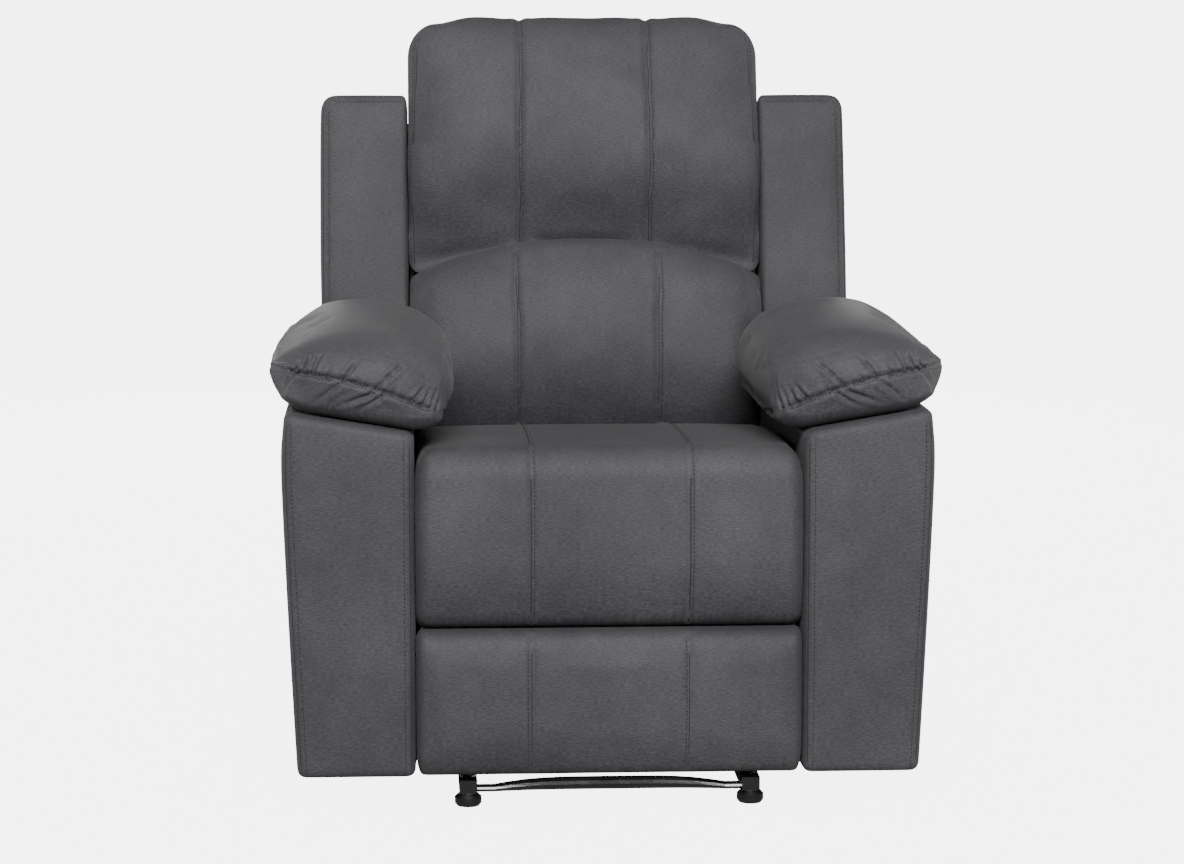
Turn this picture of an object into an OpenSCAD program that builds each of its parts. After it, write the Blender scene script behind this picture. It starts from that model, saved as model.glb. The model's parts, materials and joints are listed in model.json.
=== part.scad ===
// Recliner armchair with pillow-top arms, a fold-out footrest and a tall padded back.
// Millimetres. +Z up, the front faces -Y, origin on the floor under the middle of the chair.

/* [Overall] */
// Overall width over the arm pads
overall_w = 900; // [860:10:940]
// Overall depth with the back upright and the footrest folded
overall_d = 915; // [895:5:935]
// Overall height to the top of the head pillow
overall_h = 1045; // [1035:1:1055]

/* [Arms] */
// Clear width between the two arms
arm_gap = 516; // [512:2:520]
// Width over the outer faces of the arms
arm_outer_w = 866; // [850:2:870]
// Height of the arm's lower edge above the floor
arm_bottom_z = 40; // [38:1:44]
// Height of the arm's top at its outer edge
arm_top_z = 532; // [525:1:540]
// How far the arm's top falls towards the seat
arm_top_fall = 30; // [20:1:36]
// Length of an arm along its lower edge
arm_len = 800; // [780:5:810]
// Height of the arm pad's crest
pad_top_z = 648; // [640:1:655]
// Thickness of the padded arm wall
arm_wall = 16; // [12:1:20]

/* [Seat] */
// Height of the crest of the seat's front roll
seat_crest_z = 478; // [474:1:482]
// Radius of the seat's front roll
roll_r = 40; // [38:1:42]
// Clearance between the seat cushion and each arm
seat_side_gap = 2.5; // [2:0.5:4]
// Distance that the seat slides forward as the chair reclines
seat_travel = 70; // [50:5:70]

/* [Back] */
// Lean of the upright back from the vertical
back_lean = 14; // [12:1:15]
// Width over the two side wings of the back
wing_outer_w = 790; // [770:2:800]
// Width of the head pillow
head_w = 526; // [510:2:526]

/* [Footrest linkage] */
// Thickness of a steel link
link_t = 3.2; // [2.5:0.1:3.4]
// Width of a steel link
link_w = 20; // [18:1:22]
// Radius of a rivet's shank
rivet_r = 5; // [4:0.5:5]
// Radial clearance of a rivet that turns in a link
run_fit = 0.05; // [0.02:0.01:0.08]
// Radial clearance at the pivots where the closed linkage is opened
open_fit = 0.8; // [0.6:0.1:1.2]

/* [Release] */
// Length of the recessed release paddle
paddle_len = 84; // [80:1:90]
// Height of the recessed release paddle
paddle_h = 36; // [32:1:40]

/* [Colours] */
// Upholstery
cloth = "#555557";
// Bare steel parts
steel = "#8a8d90";
// Black painted steel
black = "#18181a";
// Timber and plywood
timber = "#b98f5e";

/* [Hidden] */
$fn = 48;
hull_fn = 32;

// Where the main planes lie
half_w = overall_w / 2;
front_bulge = 15;
arm_front_y = -overall_d / 2 + front_bulge;
arm_in_x = arm_gap / 2;
arm_out_x = arm_outer_w / 2;
seat_half_w = arm_in_x - seat_side_gap;

// Fold axis in the middle of the seat's front roll
fold_y = arm_front_y + 32;
fold_z = seat_crest_z - roll_r;

// Pivots of the footrest linkage, as [y, z] in the chair's frame at rest.
// Each is given forward and up from the fold axis.
function from_fold(forward, up) = [fold_y - forward, fold_z + up];
crank = [-57.9, -262.5];
crank_tip = [-75.6, -296.5];
seat_pivot = [-200, -76];
guide_offset = [-48, -27];
pivot_seat_drive = from_fold(seat_pivot[0], seat_pivot[1]);
pivot_seat_guide = from_fold(seat_pivot[0] + guide_offset[0], seat_pivot[1] + guide_offset[1]);
pivot_drive_carrier = from_fold(seat_pivot[0] + crank[0], seat_pivot[1] + crank[1]);
pivot_drive_control = from_fold(seat_pivot[0] + crank_tip[0], seat_pivot[1] + crank_tip[1]);
pivot_guide_carrier = pivot_drive_carrier - [guide_offset[0], -guide_offset[1]];
pivot_rest_carrier = from_fold(-56.3, -264);
pivot_rest_control = from_fold(-74.2, -295.6);
crease = from_fold(-30, -200);

// Layers of the linkage, as distances from the middle plane to a plate's inner face
plate_x = 222.8;
crank_x = 218.2;
carrier_x = 213.6;
side_rail_x = plate_x + link_t;
rivet_head_r = 8.5;
rivet_head_t = 1.6;

// Base frame
foot_x = 189;
cap_h = 16;
cap_r = 18;
rail_w = 24;
rail_h = 18;
rail_z = 18;
rail_top_z = rail_z + rail_h;
rail_wall = 2;
rail_front_y = arm_front_y + 4;
rail_rear_y = 330;
front_foot_y = arm_front_y + 18;
rear_foot_y = 305;
track_bottom_z = 304;
track_top_z = 318;
track_y = [-370, 150];
post_y = [-330, 75];
post_len = 30;
post_wall = 3;
stud_r = 4;

// Arm frame and cover
arm_rear_y = arm_front_y + arm_len;
arm_slope_y = arm_front_y + 632;
arm_slope_z = 400;
arm_top_inner_z = arm_top_z - arm_top_fall;
arm_foot_in = 17;
frame_board = 18;
bracket_y = [-270, 190];
bracket_t = 4;
arm_bolt_r = 4;
arm_bolt_pitch = 24;

// Seat frame
seat_rail_z = 330;
seat_rail_h = 40;
seat_rail_t = 24;
seat_front_y = fold_y + 28;
seat_rear_y = 150;
deck_z = seat_rail_z + seat_rail_h;
spring_t = 4;

// Back, drawn upright about its hinge and then leaned
hinge_y = arm_front_y + 640;
hinge_z = 345;
hinge_pin_r = 6;
back_board_x = 232;
back_board_t = 18;
back_front = -28;
back_rear = 103;
wing_front = -84;
wing_in_x = 264;
wing_bottom = 242;
wing_top = 578;
wing_corner_r = 20;
outer_panel_t = 21;

// Front pad and footrest, measured forward from the fold axis
pad_face = roll_r;
pad_back = -13;
board_t = 12;
crease_gap = 9;
crease_r = 18;
footrest_bottom_z = 41;
board_rear_y = fold_y - pad_back + board_t;
hinge_half = 150;
hinge_mid_half = 49;
hinge_leaf_t = 1.5;
hinge_leaf_h = 26;
hinge_knuckle_r = 4.5;
crease_pin_r = 2.5;

// Release handle and latch, on the arm at -X
paddle_y = -120;
paddle_z = 420;
bezel_margin = 14;
bezel_t = 3;
cup_depth = 30;
cup_wall = 2;
paddle_t = 5;
paddle_gap = 1.5;
finger_gap = 30;
latch_x = 203;
catch_share = 0.75;
catch_point = pivot_seat_drive + catch_share * (pivot_drive_carrier - pivot_seat_drive);
latch_pivot = catch_point + [47, 18];

// ---------------------------------------------------------------- helpers

// Both sides of the chair, mirrored
module both_sides() {
  children();
  mirror([1, 0, 0]) children();
}

// A [y, z] outline drawn thick along X from x0
module side_plate_shape(x0, thick) {
  translate([x0, 0, 0]) rotate([90, 0, 90]) linear_extrude(thick) children();
}

// A bar between round eyes at two [y, z] points, in the outline plane
module bar_outline(a, b, width) {
  translate(a) circle(d = width);
  translate(b) circle(d = width);
  neck(a, b, width);
}

// The straight part of a bar, a little narrower than its eyes
module neck(a, b, width) {
  run = b - a;
  neck_w = width - 3;
  translate(a) rotate(atan2(run[1], run[0]))
    translate([0, -neck_w / 2]) square([norm(run), neck_w]);
}

// A round pin along X at a [y, z] point
module pin_x(at, x0, length, r) {
  translate([x0, at[0], at[1]]) rotate([0, 90, 0]) cylinder(h = length, r = r);
}

// A pivot hole or an eye for the outline plane
module hole_at(at, r) {
  translate(at) circle(r = r);
}

// A rivet with a head at each end, along X
module rivet(at, x0, x1) {
  pin_x(at, x0, x1 - x0, rivet_r);
  pin_x(at, x0 - rivet_head_t, rivet_head_t, rivet_head_r);
  pin_x(at, x1, rivet_head_t, rivet_head_r);
}

// A block given by its two corners
module block(low, high) {
  translate(low) cube(high - low);
}

// A cushion: the hull of eight squashed balls, with side bulges
module cushion(low, high, r) {
  hull() {
    for (x = [low[0] + r[0], high[0] - r[0]])
      for (y = [low[1] + r[1], high[1] - r[1]])
        for (z = [low[2] + r[2], high[2] - r[2]])
          translate([x, y, z]) scale(r) sphere(r = 1, $fn = hull_fn);
  }
}

// Places what is drawn about the hinge, upright, at the leaned back
module leaned() {
  translate([0, hinge_y, hinge_z]) rotate([-back_lean, 0, 0]) children();
}

// A plate screw or bolt along X: shank and a domed head on the inner side
module bolt_x(at, x0, length, r, head_r, head_t) {
  pin_x(at, x0, length, r);
  pin_x(at, x0 - head_t, head_t, head_r);
}

// ---------------------------------------------------------------- base frame

module foot_caps() {
  color(black) both_sides()
    for (y = [front_foot_y, rear_foot_y])
      translate([foot_x, y, 0]) rotate_extrude()
        polygon([[0, 0], [cap_r - 3, 0], [cap_r, 4], [cap_r, 12], [cap_r - 4, cap_h],
                 [stud_r, cap_h], [stud_r, 6], [0, 6]]);
}

module foot_bolts() {
  nut_h = 5;
  color(steel) both_sides()
    for (y = [front_foot_y, rear_foot_y])
      translate([foot_x, y, 0]) {
        translate([0, 0, 6]) cylinder(h = rail_z + rail_wall - 6, r = stud_r);
        translate([0, 0, cap_h]) cylinder(h = rail_z - cap_h, r = 11);
        translate([0, 0, rail_z + rail_wall]) cylinder(h = nut_h, r = 7, $fn = 6);
      }
}

module base_rail() {
  color(black) difference() {
    block([foot_x - rail_w / 2, rail_front_y, rail_z],
          [foot_x + rail_w / 2, rail_rear_y, rail_top_z]);
    block([foot_x - rail_w / 2 + rail_wall, rail_front_y + rail_wall, rail_z + rail_wall],
          [foot_x + rail_w / 2 - rail_wall, rail_rear_y - rail_wall, rail_top_z - rail_wall]);
    for (y = [front_foot_y, rear_foot_y])
      translate([foot_x, y, rail_z - 1]) cylinder(h = rail_wall + 2, r = stud_r);
  }
}

module left_base_rail() {
  base_rail();
}

module right_base_rail() {
  mirror([1, 0, 0]) base_rail();
}

// The tube bows up in the middle and is pressed flat at its two ends
module front_cross_tube() {
  span = foot_x - rail_w / 2;
  flat_len = 26;
  tube_r = 9;
  flat_h = 10;
  rise = 10;
  steps = 8;
  color(black) bowed_tube(span, flat_len, tube_r, flat_h, rise, steps);
}

// Sweep of an oval section along the bowed line, as one closed surface
module bowed_tube(span, flat_len, tube_r, flat_h, rise, steps) {
  sides = 12;
  rings = 2 * steps;
  function at_x(i) = -span + 2 * span * i / rings;
  function share(x) = max(0, 1 - pow(abs(x) / (span - flat_len), 4));
  function oval_h(x) = flat_h / 2 + (tube_r - flat_h / 2) * share(x);
  function mid_z(x) = rail_z + flat_h / 2 + (rise - flat_h / 4) * share(x) * 0.72;
  points = [
    for (i = [0:rings])
      for (k = [0:sides - 1])
        let (x = at_x(i), a = 360 * k / sides)
          [x, front_foot_y + tube_r * cos(a), mid_z(x) + oval_h(x) * sin(a)]
  ];
  walls = [
    for (i = [0:rings - 1])
      for (k = [0:sides - 1])
        let (a = i * sides + k, b = i * sides + (k + 1) % sides)
          [a, b, b + sides, a + sides]
  ];
  polyhedron(points, concat([[for (k = [sides - 1:-1:0]) k]], walls,
             [[for (k = [0:sides - 1]) rings * sides + k]]), convexity = 4);
}

module rear_cross_tube() {
  span = foot_x - rail_w / 2;
  color(black) pin_x([rear_foot_y - 40, rail_z + rail_h / 2], -span, 2 * span, rail_h / 2 - 1);
}

module track_posts() {
  color(black) both_sides()
    for (y = post_y)
      difference() {
        block([foot_x - rail_w / 2 + 4, y - post_len / 2, rail_top_z],
              [foot_x + rail_w / 2 - 4, y + post_len / 2, track_bottom_z]);
        block([foot_x - rail_w / 2 + 4 + post_wall, y - post_len / 2 + post_wall, rail_top_z - 1],
              [foot_x + rail_w / 2 - 4 - post_wall, y + post_len / 2 - post_wall,
               track_bottom_z + 1]);
      }
}

// A channel on each side, open upwards, in which the seat's runner slides
module slide_tracks() {
  lip = 3;
  color(steel) both_sides()
    difference() {
      block([foot_x - 10, track_y[0], track_bottom_z], [foot_x + 10, track_y[1], track_top_z]);
      block([foot_x - 10 + lip, track_y[0] - 1, track_bottom_z + lip],
            [foot_x + 10 - lip, track_y[1] + 1, track_top_z + 1]);
    }
}

module arm_brackets() {
  plate_len = 44;
  upstand = 46;
  color(black) both_sides()
    for (y = bracket_y) {
      block([foot_x - 6, y - plate_len / 2, rail_top_z],
            [arm_in_x, y + plate_len / 2, rail_top_z + bracket_t]);
      difference() {
        block([arm_in_x - bracket_t, y - plate_len / 2, rail_top_z + bracket_t],
              [arm_in_x, y + plate_len / 2, rail_top_z + upstand]);
        arm_bolt_holes(y);
      }
    }
}

module arm_bolt_holes(y) {
  for (side = [-1, 1])
    pin_x([y + side * arm_bolt_pitch / 2, rail_top_z + 30], arm_in_x - bracket_t - 1,
          bracket_t + arm_wall + frame_board + 2, arm_bolt_r);
}

module arm_bolts() {
  color(steel) both_sides()
    for (y = bracket_y)
      for (side = [-1, 1])
        bolt_x([y + side * arm_bolt_pitch / 2, rail_top_z + 30], arm_in_x - bracket_t,
               bracket_t + arm_wall + frame_board, arm_bolt_r, 7, 3);
}

// ---------------------------------------------------------------- arms

// Side outline of an arm, inset by a margin
module arm_outline(inset) {
  polygon([
    [arm_front_y + inset, arm_bottom_z + inset],
    [arm_front_y + inset, arm_top_z + 20],
    [arm_slope_y - inset / 2, arm_top_z + 20],
    [arm_slope_y - inset / 2, arm_top_z - inset],
    [arm_rear_y - inset, arm_slope_z - inset],
    [arm_rear_y - inset, arm_bottom_z + inset]
  ]);
}

// Front outline of an arm as [x, z]: the outer face leans in towards the floor
module arm_section(inset) {
  polygon([
    [arm_in_x + inset, arm_bottom_z + inset],
    [arm_in_x + inset, arm_top_inner_z - inset],
    [arm_out_x - 30, arm_top_z - inset],
    [arm_out_x - 8 - inset, arm_top_z - 18 - inset],
    [arm_out_x - inset, arm_top_z - 60],
    [arm_out_x - 2 - inset, 240],
    [arm_out_x - arm_foot_in - inset, arm_bottom_z + inset]
  ]);
}

module arm_solid(inset) {
  intersection() {
    side_plate_shape(arm_in_x - 1, arm_out_x - arm_in_x + 2) arm_outline(inset);
    translate([0, arm_rear_y + 1, 0]) rotate([90, 0, 0])
      linear_extrude(arm_len + 2) arm_section(inset);
  }
}

// Timber frame: two side boards joined by posts and rails
module arm_frame() {
  board_in = arm_in_x + arm_wall;
  board_out = arm_out_x - arm_wall - 28 - frame_board;
  rail_spots = [[arm_front_y + 20, arm_bottom_z + 20], [arm_front_y + 20, 420],
                [arm_rear_y - 60, arm_bottom_z + 20], [arm_slope_y - 60, 440]];
  color(timber) difference() {
    intersection() {
      arm_solid(arm_wall);
      arm_boards(board_in, board_out, rail_spots);
    }
    for (y = bracket_y)
      arm_bolt_holes(y);
  }
}

module arm_boards(board_in, board_out, rail_spots) {
  difference() {
    block([board_in, arm_front_y, 0], [board_in + frame_board, arm_rear_y, overall_h]);
    block([board_in - 1, arm_front_y + 80, arm_bottom_z + 110],
          [board_in + frame_board + 1, arm_rear_y - 120, arm_slope_z - 40]);
  }
  difference() {
    block([board_out, arm_front_y, 0], [board_out + frame_board, arm_rear_y, overall_h]);
    block([board_out - 1, arm_front_y + 80, arm_bottom_z + 90],
          [board_out + 1 + frame_board, arm_rear_y - 120, arm_slope_z + 70]);
  }
  for (spot = rail_spots)
    block([board_in + frame_board, spot[0], spot[1]], [board_out, spot[0] + 38, spot[1] + 38]);
}

module arm_cover() {
  difference() {
    arm_solid(0);
    arm_solid(arm_wall);
    for (y = bracket_y)
      arm_bolt_holes(y);
  }
}

module left_arm_frame() {
  arm_frame();
}

module right_arm_frame() {
  mirror([1, 0, 0]) arm_frame();
}

module left_arm_cover() {
  color(cloth) arm_cover();
}

// The cover at -X has a pocket for the release handle's bezel and a hole for its cable
module right_arm_cover() {
  color(cloth) difference() {
    mirror([1, 0, 0]) arm_cover();
    block([-arm_out_x - 1, paddle_y - paddle_len / 2 - bezel_margin + 4,
           paddle_z - paddle_h / 2 - bezel_margin + 4],
          [-arm_out_x + arm_wall + 20, paddle_y + paddle_len / 2 + bezel_margin - 4,
           paddle_z + paddle_h / 2 + bezel_margin - 4]);
    pin_x(cable_exit, -arm_in_x - arm_wall - 1, arm_wall + 2, 5);
  }
}

// Pillow-top pad: fat at its front end, narrower where it meets the back
module arm_pad() {
  in_x = 198;
  mid_x = (in_x + half_w) / 2;
  fat_r = (half_w - in_x) / 2;
  crest_r = 62;
  front_y = -overall_d / 2;
  rear_y = 172;
  // Where the filling is fullest, front to rear: middle and half sizes
  full = [
    [[mid_x, front_y + 60, pad_top_z - 8 - crest_r], [fat_r, 60, crest_r]],
    [[mid_x, front_y + 300, pad_top_z - crest_r], [fat_r, 60, crest_r]],
    [[mid_x + 4, -24, pad_top_z - 6 - crest_r], [fat_r - 4, 60, crest_r]],
    [[mid_x + 24, rear_y - 40, pad_top_z - 6 - crest_r], [80, 40, crest_r - 8]],
    [[in_x + 30, front_y + 44, arm_top_inner_z + 29], [26, 26, 25]]
  ];
  difference() {
    hull() {
      for (f = full)
        translate(f[0]) scale(f[1]) sphere(r = 1, $fn = hull_fn);
    }
    translate([0, rear_y + 10, 0]) rotate([90, 0, 0]) linear_extrude(overall_d)
      polygon([[arm_in_x - 1, arm_bottom_z], [arm_in_x - 1, arm_top_inner_z],
               [arm_out_x - 30, arm_top_z], [arm_out_x - 8, arm_top_z - 18],
               [arm_out_x + 40, arm_top_z - 40], [arm_out_x + 40, arm_bottom_z]]);
  }
}

module left_arm_pad() {
  color(cloth) arm_pad();
}

module right_arm_pad() {
  color(cloth) mirror([1, 0, 0]) arm_pad();
}

module rear_apron() {
  apron_t = 14;
  color(cloth) block([-arm_in_x, arm_rear_y - 40 - apron_t, arm_bottom_z + 8],
                     [arm_in_x, arm_rear_y - 40, 280]);
}

// ---------------------------------------------------------------- release and latch

// Cup set into the arm, with a flange on the outside
module release_bezel() {
  half_len = paddle_len / 2 + paddle_gap;
  half_h = paddle_h / 2 + paddle_gap;
  lip = bezel_margin;
  face_x = -arm_out_x - bezel_t;
  color(black) difference() {
    union() {
      block([face_x, paddle_y - half_len - lip, paddle_z - half_h - lip],
            [face_x + bezel_t, paddle_y + half_len + lip, paddle_z + half_h + lip]);
      block([face_x + bezel_t, paddle_y - half_len - cup_wall, paddle_z - half_h - cup_wall],
            [face_x + bezel_t + cup_depth, paddle_y + half_len + cup_wall,
             paddle_z + half_h + cup_wall]);
    }
    block([face_x - 1, paddle_y - half_len, paddle_z - half_h],
          [face_x + bezel_t + cup_depth - cup_wall, paddle_y + half_len, paddle_z + half_h]);
    pin_x([cable_route[0][1], paddle_z], face_x + cup_depth - cup_wall, 12, cable_r);
    paddle_hinge_pin();
  }
}

module paddle_hinge_pin() {
  reach = paddle_h / 2 + paddle_gap + cup_wall;
  translate([paddle_axis[0], paddle_axis[1], paddle_z - reach])
    cylinder(h = 2 * reach, r = paddle_pin_r);
}

module paddle_pin() {
  color(steel) paddle_hinge_pin();
}

// The paddle lies flush in the cup and turns about a pin along its front edge
paddle_pin_r = 2.5;
paddle_axis = [-arm_out_x + 5, paddle_y - paddle_len / 2 + 5];
module release_paddle() {
  color(black) {
    difference() {
      union() {
        block([-arm_out_x + 2, paddle_y - paddle_len / 2, paddle_z - paddle_h / 2],
              [-arm_out_x + 2 + paddle_t, paddle_y + paddle_len / 2 - finger_gap,
               paddle_z + paddle_h / 2]);
        translate([paddle_axis[0], paddle_axis[1], paddle_z - paddle_h / 2])
          cylinder(h = paddle_h, r = 5);
      }
      translate([paddle_axis[0], paddle_axis[1], paddle_z - paddle_h])
        cylinder(h = 2 * paddle_h, r = paddle_pin_r + run_fit);
    }
  }
}

// Bowden cable from the paddle's cup down inside the arm and across to the latch
cable_r = 3;
cable_exit = [-56, 166];
cable_route = [
  [-408, -140, 420], [-398, -140, 419], [-386, -134, 410], [-377, -110, 380],
  [-370, -80, 310], [-352, -62, 230], [-300, -56, 170], [-268, -56, 166],
  [-240, -56, 168], [-222, -58, 172], [-208, -62, 176]
];
module release_cable() {
  color(black) tube_along(cable_route, cable_r, 8);
}

// A tube of straight stretches between hand-set points, one ring at each point
module tube_along(route, r, sides) {
  last = len(route) - 1;
  function dir(i) = let (d = route[min(i + 1, last)] - route[max(i - 1, 0)]) d / norm(d);
  function side_of(d) = let (s = cross(d, abs(d[2]) < 0.9 ? [0, 0, 1] : [1, 0, 0])) s / norm(s);
  points = [
    for (i = [0:last])
      for (k = [0:sides - 1])
        let (d = dir(i), s = side_of(d), u = cross(s, d), a = 360 * k / sides)
          route[i] + r * (cos(a) * s + sin(a) * u)
  ];
  walls = [
    for (i = [0:last - 1])
      for (k = [0:sides - 1])
        let (a = i * sides + k, b = i * sides + (k + 1) % sides)
          [a, b, b + sides, a + sides]
  ];
  polyhedron(points, concat([[for (k = [sides - 1:-1:0]) k]], walls,
             [[for (k = [0:sides - 1]) last * sides + k]]), convexity = 6);
}

// Post on the base rail that carries the latch
module latch_bracket() {
  color(black) side_plate_shape(-latch_x + 4.4, 3)
    difference() {
      union() {
        hole_at(latch_pivot, 13);
        polygon([latch_pivot + [-11, 0], latch_pivot + [11, 0],
                 [latch_pivot[0] + 34, rail_top_z], [latch_pivot[0] - 12, rail_top_z]]);
      }
      hole_at(latch_pivot, rivet_r);
    }
}

module latch_pin() {
  color(steel) rivet(latch_pivot, -latch_x - 3.6, -latch_x + 7.4);
}

// The pawl's nose stands just clear above the catch pin
module latch_pawl() {
  nose = catch_point + [-16, 12];
  tail = latch_pivot + [28, 2];
  color(steel) side_plate_shape(-latch_x - 3.2, link_t)
    difference() {
      union() {
        bar_outline(latch_pivot, nose + [0, 6], 14);
        bar_outline(latch_pivot, tail, 12);
        bar_outline(nose + [0, 6], nose, 9);
      }
      hole_at(latch_pivot, rivet_r + run_fit);
    }
}

// ---------------------------------------------------------------- seat

module seat_runners() {
  color(steel) both_sides()
    block([foot_x - 6, seat_front_y + 2, track_bottom_z + 4],
          [foot_x + 6, seat_rear_y - 20, seat_rail_z]);
}

module seat_side_rails() {
  color(timber) both_sides()
    block([side_rail_x, seat_front_y, seat_rail_z], [side_rail_x + seat_rail_t, seat_rear_y, deck_z]);
}

module seat_cross_rail(y, half) {
  block([-half, y, seat_rail_z], [half, y + seat_rail_t, deck_z]);
}

module seat_front_rail() {
  color(timber) seat_cross_rail(seat_front_y, side_rail_x);
}

module seat_rear_rail() {
  color(timber) seat_cross_rail(seat_rear_y - 60, plate_x);
}

// Serpentine springs between the front and rear rails, flat on the deck
spring_x = [-160, -80, 0, 80, 160];
module seat_springs() {
  y0 = seat_front_y + 6;
  y1 = seat_rear_y - 42;
  turns = 20;
  pitch = (y1 - y0) / turns;
  reach = 16;
  color(steel)
    for (x = spring_x)
      translate([x, y0, deck_z]) linear_extrude(spring_t) {
        for (i = [0:turns - 1]) {
          side = i % 2 == 0 ? 1 : -1;
          translate([side * reach, (i + 0.5) * pitch]) spring_bend(pitch, side);
        }
        for (i = [1:turns - 1])
          translate([-reach, i * pitch - spring_t / 2]) square([2 * reach, spring_t]);
        for (y = [0, turns * pitch])
          translate([y == 0 ? -spring_t / 2 : -reach, y - spring_t / 2])
            square([reach + spring_t / 2, spring_t]);
      }
}

// A half ring that joins two runs of a spring
module spring_bend(pitch, side) {
  difference() {
    circle(r = pitch / 2 + spring_t / 2);
    circle(r = pitch / 2 - spring_t / 2);
    translate([side > 0 ? -2 * pitch : 0, -2 * pitch]) square([2 * pitch, 4 * pitch]);
  }
}

module spring_clips() {
  clip = [20, 16, 2];
  color(steel)
    for (x = spring_x)
      for (y = [seat_front_y + 4, seat_rear_y - 50])
        translate([x - clip[0] / 2, y, deck_z + spring_t]) cube(clip);
}

// Cushion with a round front roll; its top falls gently to the back
module seat_cushion() {
  bottom = deck_z + spring_t + 3;
  back_y = 128;
  color(cloth) {
    side_plate_shape(-seat_half_w, 2 * seat_half_w) polygon([
      [fold_y + 4, seat_crest_z - 0.2], [-150, seat_crest_z - 8], [40, 450], [back_y, 424],
      [back_y, bottom], [fold_y + 27, bottom], [fold_y + 27, fold_z - 20], [fold_y + 4, fold_z]
    ]);
    pin_x([fold_y, fold_z], -seat_half_w, 2 * seat_half_w, roll_r);
  }
}

// Steel plate along the seat's side: it carries the links in front and the back's hinge behind
module side_plate() {
  hinge = [hinge_y, hinge_z];
  color(steel) side_plate_shape(plate_x, link_t)
    difference() {
      polygon([
        pivot_seat_drive + [-15, -12], pivot_seat_drive + [-15, 4], pivot_seat_drive + [-8, 11],
        hinge + [4, 15], hinge + [15, 4], hinge + [15, -6], hinge + [6, -15],
        pivot_seat_guide + [0, -15], pivot_seat_guide + [-12, -11]
      ]);
      hole_at(pivot_seat_drive, rivet_r);
      hole_at(pivot_seat_guide, rivet_r);
      hole_at(hinge, hinge_pin_r);
      for (y = plate_bolt_y)
        hole_at([y, seat_rail_z + 18], 3);
    }
}

module side_plates() {
  both_sides() side_plate();
}

plate_bolt_y = [-110, -20, 70];
module side_plate_bolts() {
  color(steel) both_sides()
    for (y = plate_bolt_y)
      bolt_x([y, seat_rail_z + 18], plate_x, link_t + seat_rail_t - 4, 3, 6, 2.5);
}

module seat_pivot_rivets() {
  color(steel) both_sides()
    for (at = [pivot_seat_drive, pivot_seat_guide]) {
      pin_x(at, crank_x - 0.2, plate_x + link_t - crank_x + 0.2, rivet_r);
      pin_x(at, crank_x - 0.2 - rivet_head_t, rivet_head_t, rivet_head_r);
    }
}

module back_hinge_pins() {
  color(steel) both_sides() {
    pin_x([hinge_y, hinge_z], plate_x - 2, back_board_x - plate_x + 1.5, hinge_pin_r);
    pin_x([hinge_y, hinge_z], plate_x - 4, 2.01, hinge_pin_r + 4);
  }
}

// ---------------------------------------------------------------- back

// Box-like timber frame: two deep side boards, rails in front and behind
module back_frame() {
  top = wing_top - 4;
  rail_h = 42;
  rail_t = 18;
  color(timber) leaned() {
    both_sides() difference() {
      block([back_board_x, back_front, -20], [back_board_x + back_board_t, back_rear, top]);
      rotate([0, 90, 0]) cylinder(h = back_board_x + 8, r = hinge_pin_r + 1);
    }
    for (z = [70, 300, top - rail_h])
      block([-back_board_x, back_front, z], [back_board_x, back_front + rail_t, z + rail_h]);
    for (z = [70, top - rail_h])
      block([-back_board_x, back_rear - rail_t, z], [back_board_x, back_rear, z + rail_h]);
  }
}

module back_webbing() {
  strap_w = 50;
  strap_t = 1.6;
  color("#2b2b2d") leaned()
    for (z = [135, 215, 365, 445])
      block([-back_board_x - 8, back_front - strap_t, z],
            [back_board_x + 8, back_front, z + strap_w]);
}

module back_hinge_plates() {
  plate_in = plate_x + link_t + 1.2;
  color(steel) leaned() both_sides() difference() {
    block([plate_in, -24, -18], [back_board_x, 40, 66]);
    translate([plate_in - 1, 0, 0]) rotate([0, 90, 0])
      cylinder(h = back_board_x, r = hinge_pin_r + run_fit);
  }
}

// Timber box inside each wing, screwed to the back frame's side boards
wing_wall = 14;
module wing_frames() {
  board = 15;
  low = [wing_in_x + wing_wall, wing_front + wing_wall + 20, wing_bottom + wing_wall];
  high = [wing_outer_w / 2 - wing_wall - 2, back_rear - wing_wall, wing_top - wing_wall - 6];
  color(timber) leaned() both_sides() difference() {
    block(low, high);
    block(low + [board, -1, board], high - [board, -1, board]);
  }
}

// Wing cover: a block with round outer corners, hollow for its frame
module wing() {
  outer = wing_outer_w / 2;
  r = wing_corner_r;
  leaned() difference() {
    translate([0, back_rear, 0]) rotate([90, 0, 0]) linear_extrude(back_rear - wing_front) {
      difference() {
        translate([wing_in_x, wing_bottom]) square([outer - wing_in_x, wing_top - wing_bottom]);
        translate([outer - r, wing_top - r]) square([r + 1, r + 1]);
      }
      translate([outer - r, wing_top - r]) circle(r = r);
    }
    block([wing_in_x + wing_wall, wing_front + wing_wall, wing_bottom + wing_wall],
          [outer - wing_wall - 2, back_rear - wing_wall, wing_top - wing_wall - 6]);
  }
}

module left_wing() {
  color(cloth) wing();
}

module right_wing() {
  color(cloth) mirror([1, 0, 0]) wing();
}

// Tall pillow that rolls over the top of the frame
head_bottom = 352;
module head_pillow() {
  top = (overall_h - hinge_z) / cos(back_lean) - 21.7;
  half = head_w / 2;
  color(cloth) leaned()
    cushion([-half, -122, head_bottom], [half, back_front - 2, top], [40, 40, 40]);
}

module lumbar_cushion() {
  half = arm_in_x - 4;
  color(cloth) leaned()
    cushion([-half, -160, 76], [half, back_front - 2, head_bottom - 1], [26, 40, 60]);
}

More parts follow.
